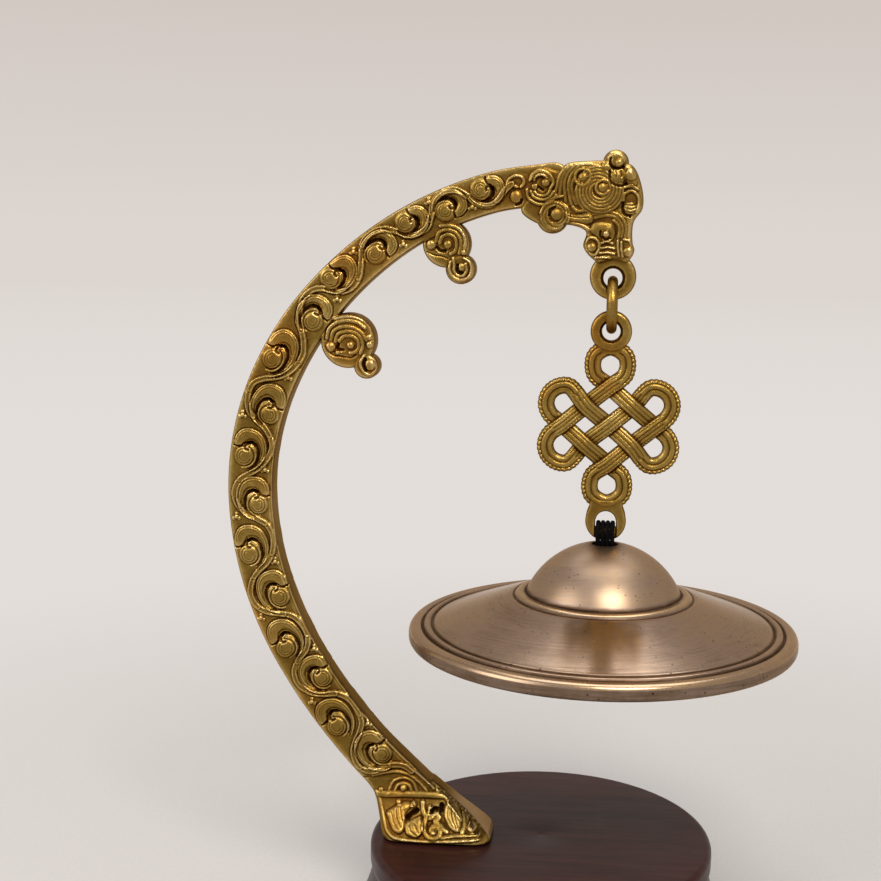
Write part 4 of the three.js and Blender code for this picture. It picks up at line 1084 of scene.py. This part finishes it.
def foot_ornament(arm):
    """The panel of the foot: two plump leaves, a scroll, a ribbed leaf and a bead."""
    ribs(arm, 0.85, 0.6, FOOT_BAND)
    ribs(arm, 0.45, 0.42, *FOOT_BORDERS)
    for line, high, soft in FOOT_LEAVES:
        arm.plump(raise_by(line), high, soft)
    ribs(arm, 0.72, 0.62, *FOOT_RIBS)
    grooves(arm, 0.26, 0.24, *FOOT_VEINS)
    grooves(arm, 0.75, 1.3, *FOOT_HOLLOWS)
    balls(arm, *FOOT_BALLS)


def make_arm(step=0.2):
    arm = Arm(step)
    crescent(arm)
    curls(arm)
    head(arm)
    eye = arm_eye(arm)
    foot(arm)
    foot_ornament(arm)
    # Near the silhouette the ornament sinks into the rounded edge.
    fade = np.sqrt(np.clip((-arm.edge - 0.1) / 0.7, 0, 1))
    fade *= 1 - arm.calm
    height = arm.body + (arm.mass + arm.raised) * fade + uneven(arm.x.shape, 11)
    # The smooth eye has no ornament; its hole flares towards both faces.
    r = np.hypot(arm.x - eye[0], arm.z - eye[1])
    ring = np.hypot(arm.x - eye[0], arm.z - eye[1] - 0.4)
    blend = np.clip((ring - 4.9) / 0.9 + np.clip((arm.z - eye[1] - 3.0) / 1.2, 0, 1), 0, 1)
    plain = 2.6 - 0.8 * np.clip((ring - 4.7) / 1.1, 0, 1) ** 2
    height = np.where(ring < 6.2, plain * (1 - blend) + height * blend, height)
    throat = flare(r - ARM_HOLE)
    height = np.where(r < 3.35, 0.45 + (height - 0.45) * throat, height)
    edge = np.maximum(arm.edge, ARM_HOLE - r)
    # The foot's back drops away round its sides, and its ornament stays in the middle.
    hidden = (arm.mass + arm.raised) * fade * arm.plain
    back = height - arm.drop - hidden
    # Painted light: the walls' tone is raised, most on the foot's low sides, for the light they
    # catch from the bright surroundings.
    low = np.clip((BASE_TOP + 13 - arm.z) / 4, 0, 1)

    # The head is a little darker, as in the photo.
    dark = 0.085 * np.clip((arm.x + 16) / 6, 0, 1)

    def finished(flat, calm):
        rim = np.clip((-arm.edge) / 0.5, 0, 1)
        made = cavity_wear_and_light(flat, step) * rim + 0.45 * (1 - rim)
        made = np.clip(made * (1 - calm) + 0.62 * calm - dark, 0, 1)
        return np.where(r < 3.1, 0.05, made)

    verts, faces, wear_and_painted_light, side = casting(
        edge, height, back, arm.xs, arm.zs, 0.35, finished(height - arm.swell, arm.calm),
        finished(height - arm.swell - hidden, np.maximum(arm.calm, arm.plain)),
        0.5 + 0.3 * low)
    mesh_piece("arm_casting", verts, faces, brass, "stand", ["arm"], wear_and_painted_light,
               side * 0.8)


make_arm()


# Endless knot

KNOT_Z = 135.2
PITCH_X, PITCH_Z = 5.9, 4.95
LOOP_R = 4.55
STRAND_HALF = 2.15
WEAVE = 0.55
# Height and hole radius of the eye for the ring and of the eye for the cord
TOP_EYE_Z, LOW_EYE_Z = 159.1, 110.7
TOP_HOLE, LOW_HOLE = 2.3, 2.55


def strand_path():
    """The closed strand: six loops and the crossings, side -1 in front."""
    def cross(i, j, side):
        return [(EYE_X + i * PITCH_X, KNOT_Z + j * PITCH_Z, side * WEAVE)]

    def loop(cx, cz, start, end):
        turns = np.radians(np.linspace(start, end, 5))
        return [(EYE_X + cx + LOOP_R * math.cos(q), KNOT_Z + cz + LOOP_R * math.sin(q), 0)
                for q in turns]

    return (cross(0, 2, 1) + cross(1, 1, -1) + cross(2, 0, 1) + loop(11.4, -5.4, 40, -105)
            + cross(1, -1, -1) + cross(0, 0, 1) + cross(-1, 1, -1) + loop(-11.4, 5.4, 75, 220)
            + cross(-2, 0, 1) + cross(-1, -1, -1) + cross(0, -2, 1) + loop(0, -15.4, 30, -210)
            + cross(0, -2, -1) + cross(1, -1, 1) + cross(2, 0, -1) + loop(11.4, 5.4, -40, 105)
            + cross(1, 1, 1) + cross(0, 0, -1) + cross(-1, -1, 1) + loop(-11.4, -5.4, -75, -220)
            + cross(-2, 0, -1) + cross(-1, 1, 1) + cross(0, 2, -1) + loop(0, 15.4, -30, 210))


def strand_face(knot, path, along, start, bend, rising):
    """The strand's own front over one short stretch, and where it counts."""
    over, reach, unit = 4, 12, along[1]
    picked = np.arange(start - over, start + reach + over + 1) % len(path)
    part = path[picked]
    win = knot.window(part[:, :2], STRAND_HALF + 0.4)
    d, s, t = knot.to_line(win, part[:, :2])
    s = s / unit
    counts = (s > over - 0.3) & (s < over + reach + 0.3) & (d < STRAND_HALF + 0.3)
    spot = picked[np.clip(np.round(s).astype(int), 0, len(picked) - 1)]
    lift = np.interp(s, np.arange(len(part)), part[:, 2])
    station = (start - over + s) * unit
    curl, rise = bend[spot], rising[spot]
    out = np.where(curl < 0, t, -t)
    loop = np.clip((np.abs(curl) - 0.05) / 0.05, 0, 1)
    bead = 0.5 + 0.5 * np.cos(2 * math.pi * (station / 0.86 + 0.45 * out))
    beads = np.sqrt(bead)
    round_top = lambda at, half: np.sqrt(np.clip(1 - ((out - at) / half) ** 2, 0, 1))
    rim = (0.14 + 0.30 * beads) * round_top(1.62, 0.5)
    curved = np.maximum(0.40 * round_top(0.35, 0.72), np.maximum(
        0.24 * round_top(-1.25, 0.85), rim))
    low_rim = (0.12 + 0.2 * beads) * np.sqrt(np.clip(
        1 - ((np.abs(t) - 1.72) / 0.42) ** 2, 0, 1))
    fine = 0.26 * np.abs(np.sin(math.pi * (t + 1.29) / 0.86)) ** 0.4 * (np.abs(t) < 1.29)
    edged = np.maximum(fine, low_rim)
    ridged = 0.27 * np.abs(np.sin(math.pi * (t + 2.15) / 1.075)) ** 0.4
    straight = edged * rise + ridged * (1 - rise)
    ribs = curved * loop + straight * (1 - loop)
    u = np.clip(d / STRAND_HALF, 0, 1)
    face = 1.28 * np.sqrt(np.clip(1 - u ** 5, 0, 1)) + ribs * np.clip((1 - u) / 0.08, 0, 1)
    milled = np.clip((out - 1.2) / 0.6, 0, 1) * loop
    edge = d - STRAND_HALF + 0.16 * milled * (1 - bead)
    on = counts & (d < STRAND_HALF)
    return win, np.where(on, face - lift, 0), np.where(on, face + lift, 0), np.where(
        counts, edge, 1e3)


def make_knot(step=0.15):
    knot = Relief((-4.5, 104.5), (33.7, 165.5), step)
    path, along = resample(smooth_curve(strand_path(), True, 12), 0.3, True)
    ahead = np.roll(path, -2, 0) - np.roll(path, 2, 0)
    heading = np.arctan2(ahead[:, 1], ahead[:, 0])
    turned = np.roll(heading, -6) - np.roll(heading, 6)
    bend = (turned - 2 * math.pi * np.round(turned / (2 * math.pi))) / 3.6
    rising = np.clip(np.cos(2 * (heading - math.radians(40))) * 2.0, 0, 1)
    front, back = np.zeros(knot.x.shape), np.zeros(knot.x.shape)
    for start in range(0, len(path), 12):
        win, near, far, edge = strand_face(knot, path, along, start, bend, rising)
        front[win] = np.maximum(front[win], near)
        back[win] = np.maximum(back[win], far)
        knot.edge[win] = np.minimum(knot.edge[win], edge)
    wear_and_painted_light = np.minimum(cavity_wear_and_light(front, step, 0.9, 0.6, 0.5), 0.76)
    knot.body = front.copy()
    # the neck's plate, the top eye and the gap of the top loop, which stays open
    top = (EYE_X, TOP_EYE_Z)
    knot.outline(np.array([(EYE_X - 3.4, 157), (EYE_X + 3.4, 157), (EYE_X + 3.3, 155),
                           (EYE_X + 3.6, 153.2), (EYE_X - 3.6, 153.2),
                           (EYE_X - 3.3, 155)]), 1.6, 0.6)
    gap = np.hypot(knot.x - EYE_X, knot.z - 150.6)
    knot.disc(top, 5.2, 1.9, 0.9)
    # the lower eye: one plate with a flat top, round the hole that holds the cord
    plate = [(-4.0, 116.2), (4.0, 116.2), (4.3, 114.5), (4.9, 112.8), (5.2, 110.9)]
    plate += [(5.2 * math.cos(q), LOW_EYE_Z + 5.2 * math.sin(q))
              for q in np.radians(range(-8, -180, -8))]
    plate += [(-5.2, 110.9), (-4.9, 112.8), (-4.3, 114.5)]
    knot.outline(np.array([(EYE_X + x, z) for x, z in plate]), 1.6, 0.5)
    r = np.hypot(knot.x - EYE_X, knot.z - LOW_EYE_Z)
    lip = flare((r - LOW_HOLE) / 0.5)
    ring = (r < 3.05) & (knot.z < 114.5)
    knot.body = np.where(ring, 1.1 + (knot.body - 1.1) * lip, knot.body)
    knot.edge = np.maximum(knot.edge, LOW_HOLE - r)
    # The cord lies over this low wall, so it is filled up to just under the cord.
    wall_z, wall_half = 107.4, 1.8
    under = (np.abs(knot.x - EYE_X) < 2.9) & (knot.z < LOW_EYE_Z)
    across = np.clip(np.abs(knot.z - wall_z) / wall_half, 0, 1)
    wall = 1.25 * np.sqrt(1 - across ** 2)
    calm = np.clip((np.abs(knot.x - EYE_X) - 2.6) / 0.3, 0, 1)
    knot.body = np.where(under & (r < 5.4), wall * (1 - calm) + np.maximum(
        knot.body, wall * (1 - calm)) * calm, knot.body)
    fill = np.maximum(np.abs(knot.z - wall_z) - wall_half, r - 5.2)
    knot.edge = np.where(under, np.minimum(knot.edge, fill), knot.edge)
    # Beside the cord the eye's hole is straight, so the cord can swing.
    slot = np.maximum(np.abs(knot.x - EYE_X) - 2.66, np.abs(knot.z - 110.05) - 0.9)
    knot.edge = np.maximum(knot.edge, -slot)
    height = np.maximum(knot.body, 0.25)
    # holes of the top eye, wider towards its faces
    rt = np.hypot(knot.x - top[0], knot.z - top[1])
    throat = flare((rt - TOP_HOLE) / 0.85)
    height = np.where(rt < 3.15, 0.4 + (height - 0.4) * throat, height)
    knot.edge = np.maximum(knot.edge, np.maximum(TOP_HOLE - rt, TOP_HOLE - gap))
    back = np.where((knot.body > front + 1e-6) | (rt < 5.3) | (under & (r < 5.4)), height,
                    np.maximum(back, 0.25))
    plain = (rt < 5.6) | ((knot.z < 116.3) & (np.abs(knot.x - EYE_X) < 5.4))
    wear_and_painted_light = np.where(plain, np.clip(0.5 + (cavity_wear_and_light(height, step) - 0.5) * 0.5, 0, 1), wear_and_painted_light)
    wear_and_painted_light = np.where(rt < 2.95, 0.05, wear_and_painted_light)
    verts, faces, wear_and_painted_light, side = casting(knot.edge, height, back, knot.xs, knot.zs, 0.3, wear_and_painted_light,
                                       wear_and_painted_light, 0.36)
    mesh_piece("knot_casting", verts, faces, brass, "knot", ["endless_knot"],
               wear_and_painted_light, side * 0.5)


make_knot()


# Hanging ring

# Height of the ring's middle, its radius and its wire's radius
RING_Z, RING_R, WIRE_R, RING_STEPS = 165.7, 5.95, 1.35, 160


def make_ring():
    """The ring, a little darker on its inner side and much darker there at the top and the
    bottom, where it lies in the eye and the knot.
    """
    turn = np.arange(RING_STEPS) * 2 * math.pi / RING_STEPS
    round_it = np.stack([np.zeros(RING_STEPS), np.sin(turn), np.cos(turn)], 1)
    path = np.array([EYE_X, 0, RING_Z]) + RING_R * round_it
    wire = WIRE_R - 0.04 * np.cos(2 * turn)
    verts, faces = tube(path, wire, 28, closed=True)
    y, z = verts[:, 1], verts[:, 2] - RING_Z
    around = np.hypot(y, z)
    wear_and_painted_light = 0.52 + 0.10 * (around - RING_R) - 0.35 * (np.abs(z) > 4.0) * (around < 6.4)
    wear_and_painted_light = np.clip(wear_and_painted_light, 0, 1)
    mesh_piece("ring_wire", verts, faces, ring_brass, "ring", ["hanging_ring"],
               wear_and_painted_light)


make_ring()


# Gong

GONG_Z, GONG_SIDES = 83.3, 400
# Radii of the dome's outside and inside, its hole and its foot, and of the two rim grooves
DOME_OUT, DOME_IN, DOME_HOLE, DOME_FOOT = 21.8, 19.8, 3.3, 19.9
GROOVES = (44.0, 46.5)
# The radius and height where the brim starts, and its fall for each millimetre outwards
BRIM_START, BRIM_TOP, BRIM_FALL = 23.8, 7.575, 0.3648


def dome_points(radius, r0, r1, count):
    """(radius, height) along the dome's sphere, which is centred 0.2 under the rim line."""
    return [(r, -0.2 + math.sqrt(radius ** 2 - r ** 2)) for r in
            radius * np.sin(np.linspace(math.asin(r0 / radius), math.asin(r1 / radius),
                                        count))]


def make_gong():
    outside = dome_points(DOME_OUT, DOME_HOLE, DOME_FOOT, 40)
    outside += [(20.5, 8.45), (21.4, 8.62), (22.3, 8.3), (23.0, 7.45), (BRIM_START, BRIM_TOP)]
    outside += [(r, BRIM_TOP - (r - BRIM_START) * BRIM_FALL) for r in np.linspace(26, 43.0, 18)]
    outside += [(43.5, 0.42), (GROOVES[0], -0.15), (44.55, 0.38), (45.9, 0.42),
                (GROOVES[1], -0.55), (47.05, 0.02), (48.8, 0), (49.6, -0.5), (50, -1.4),
                (50, -3.2), (49.5, -4)]
    inside = [(46.5, -4.0), (44, -2.0), (34, 1.6), (23.2, 5.4), (18.5, 7.2)]
    inside += dome_points(DOME_IN, DOME_HOLE, 18.3, 24)[::-1]
    profile = rounded(outside + inside, 0.22)
    verts, faces = lathe(profile, (EYE_X, 0, GONG_Z), GONG_SIDES)
    r, h = profile[:, 0], profile[:, 1]
    tone = np.full(len(profile), 0.62)
    # Tarnish darkens the turned grooves; the darker ring round the hole is painted shade where
    # the cord goes in.
    for groove, wide, deep in ((GROOVES[0], 0.55, 0.75), (GROOVES[1], 0.5, 0.75),
                               (20.1, 0.45, 0.7), (23.1, 0.4, 0.6), (DOME_HOLE, 1.6, 0.35)):
        tone -= deep * np.exp(-((r - groove) / wide) ** 2) * (h > -1.2)
    # Painted shade: the rim's outer side, beyond 49.3 and below -1.2, is made much darker.
    tone += 0.02 * (r < 19.5) - 0.05 * (r > 24) * (r < 43) - 0.32 * (r > 49.3) * (h < -1.2)
    tone += 0.25 * np.exp(-((r - 21.8) / 0.7) ** 2) * (h > 8) + 0.08 * (r > 47)
    # Rounding turns each point into eight; those of the inside get one even, darker tone.
    tone = np.where(np.arange(len(profile)) > len(outside) * 8, 0.35, tone)
    wear_and_painted_light = np.repeat(np.clip(tone, 0, 1), GONG_SIDES)
    mesh_piece("gong_disc", verts, faces, bronze, "gong", ["gong"], wear_and_painted_light)


make_gong()


# Base, felt and screws

BASE_UNDER = 1.3


def make_base():
    """The turned base: a flat underside, a flared skirt and a round-edged slab on top."""
    skirt = [(44 + 4.5 * (1 - t) * (1 - 0.3 * t), 4.9 + 13.2 * t)
             for t in np.linspace(0, 1, 16)]
    slab = [(44.2, 18.15)]
    slab += [(45 - 1.0 * (1 - math.sin(q)), 18.1 + 2.6 * (1 - math.cos(q)))
             for q in np.radians(range(0, 91, 10))]
    slab += [(43.4 + 1.6 * math.cos(q), 23.4 + 1.6 * math.sin(q))
             for q in np.radians(range(0, 91, 9))]
    slab += [(r, BASE_TOP) for r in (36, 24, 12, 0.02)]
    under = [(r, BASE_UNDER) for r in (0.02, 20, 40, 49.0)]
    profile = under + [(49.5, 1.8), (49.5, 4.4), (49.0, 4.9)] + skirt[1:] + slab
    profile = rounded(profile, 0.2)
    verts, faces = lathe(profile[::-1], (0, 0, 0), 360)
    mesh_piece("base_turned", verts, faces, wood, "stand", ["wooden_base"])


make_base()


def make_felt_pad():
    """A pad of pressed felt with a soft cut edge and a slightly uneven underside."""
    rng = np.random.default_rng(7)
    radii = np.linspace(0.02, 45.2, 46)
    profile = [(r, 0.06) for r in radii] + [(45.7, 0.16), (45.95, 0.4), (45.95, 0.7),
                                            (45.6, 0.95)]
    profile += [(r, 1.0) for r in radii[::-1]]
    verts, faces = lathe(np.array(profile)[::-1], (0, 0, 0), 200)
    low = verts[:, 2] < 0.1
    verts[low, 2] += rng.uniform(-0.05, 0.05, low.sum())
    edge = np.hypot(verts[:, 0], verts[:, 1]) > 45.5
    verts[edge, :2] *= 1 + rng.uniform(-0.0006, 0.0006, edge.sum())[:, None]
    pad = mesh_piece("felt_pad", verts, faces, felt, "stand", ["base_felt"])


make_felt_pad()

for name in ("foot_washer_1", "foot_washer_2", "foot_screw_1", "foot_screw_2"):
    for place in bpy.data.objects[name].material_slots:
        place.material = steel


# Floor and light

BACKDROP_NEAR, BACKDROP_FAR, BACKDROP_TOP = (0.768, 0.725, 0.697), (0.717, 0.668, 0.631), (
    0.630, 0.570, 0.528)


def seen_directly(tree):
    """1 for the rays that show the backdrop: from the camera, off metal or through glass."""
    rays = node(tree, "LightPath").outputs
    return maths(tree, "MAXIMUM", rays["Is Camera Ray"], maths(
        tree, "MAXIMUM", rays["Is Glossy Ray"], rays["Is Transmission Ray"]))


def make_floor():
    size, rings, spokes = 6.0, 40, 96
    radii = np.concatenate([[0.001], size * (np.arange(1, rings + 1) / rings) ** 2])
    turn = np.arange(spokes) * 2 * math.pi / spokes
    verts = np.stack([radii[:, None] * np.cos(turn), radii[:, None] * np.sin(turn),
                      np.zeros((len(radii), spokes))], 2).reshape(-1, 3)
    faces = grid_faces(len(radii), spokes, False)[:, TURNED_OVER]
    mesh = bpy.data.meshes.new("floor")
    mesh.from_pydata(verts.tolist(), [], faces.tolist())
    floor = add_object("floor", mesh)
    material, tree = new_material("floor_paper")
    _, radius, _ = round_axis(tree, place_of(tree))
    far = node(tree, "MapRange", {"Value": radius, "From Min": 0.11, "From Max": 0.42},
               interpolation_type="SMOOTHSTEP").outputs[0]
    tone = ramp(tree, node(tree, "MapRange", {"Value": radius, "From Min": 0.0,
                                              "From Max": 4.0}).outputs[0],
                [(0.25, BACKDROP_NEAR), (1.0, BACKDROP_FAR)])
    fibres = noise(tree, place_of(tree), 900, 3, 0.6)
    paper = node(tree, "BsdfDiffuse", {"Color": ramp(tree, fibres, [
        (0.3, (0.455, 0.430, 0.412)), (0.7, (0.480, 0.455, 0.437))])})
    glow = node(tree, "Emission", {"Color": tone, "Strength": 1.0})
    both = node(tree, "MixShader", {0: maths(tree, "MULTIPLY", far, seen_directly(tree)),
                                    1: paper.outputs[0], 2: glow.outputs[0]})
    node(tree, "OutputMaterial", {0: both.outputs[0]})
    mesh.materials.append(material)


def make_world():
    world = bpy.data.worlds.new("studio")
    bpy.context.scene.world = world
    world.use_nodes = True
    tree = world.node_tree
    tree.nodes.clear()
    up = node(tree, "SeparateXYZ", {0: node(tree, "TexCoord").outputs["Generated"]}).outputs[2]
    level = maths(tree, "MULTIPLY", maths(tree, "ADD", up, 1.0), 0.5)
    seen = ramp(tree, level, [(0.5, BACKDROP_FAR), (0.58, BACKDROP_TOP)])
    light = ramp(tree, level, [(0.45, 0.30), (0.55, 0.42), (0.8, 0.62), (1.0, 0.85)])
    back = node(tree, "Background", {0: light, 1: 0.75})
    front = node(tree, "Background", {0: seen, 1: 1.0})
    both = node(tree, "MixShader", {0: seen_directly(tree), 1: back.outputs[0],
                                    2: front.outputs[0]})
    node(tree, "OutputWorld", {0: both.outputs[0]})


def make_light(name, place, aim, size, power, colour=(1, 1, 1)):
    data = bpy.data.lights.new(name, "AREA")
    data.shape = "RECTANGLE"
    data.size, data.size_y = size
    data.energy = power
    data.color = colour
    lamp = add_object(name, data)
    lamp.location = place
    lamp.rotation_euler = (Vector(aim) - Vector(place)).to_track_quat("-Z", "Y").to_euler()


bpy.context.scene.view_settings.view_transform = "Standard"
make_floor()
make_world()
MIDDLE = (0, 0, 0.12)
make_light("key", (0.25, -0.75, 0.95), MIDDLE, (0.5, 0.4), 9, (1.0, 0.96, 0.90))
make_light("fill", (-0.8, -0.5, 0.6), MIDDLE, (0.6, 0.6), 4, (1.0, 0.98, 0.96))
make_light("top", (0.0, 0.25, 1.1), (0, 0, 0.1), (0.9, 0.7), 7)
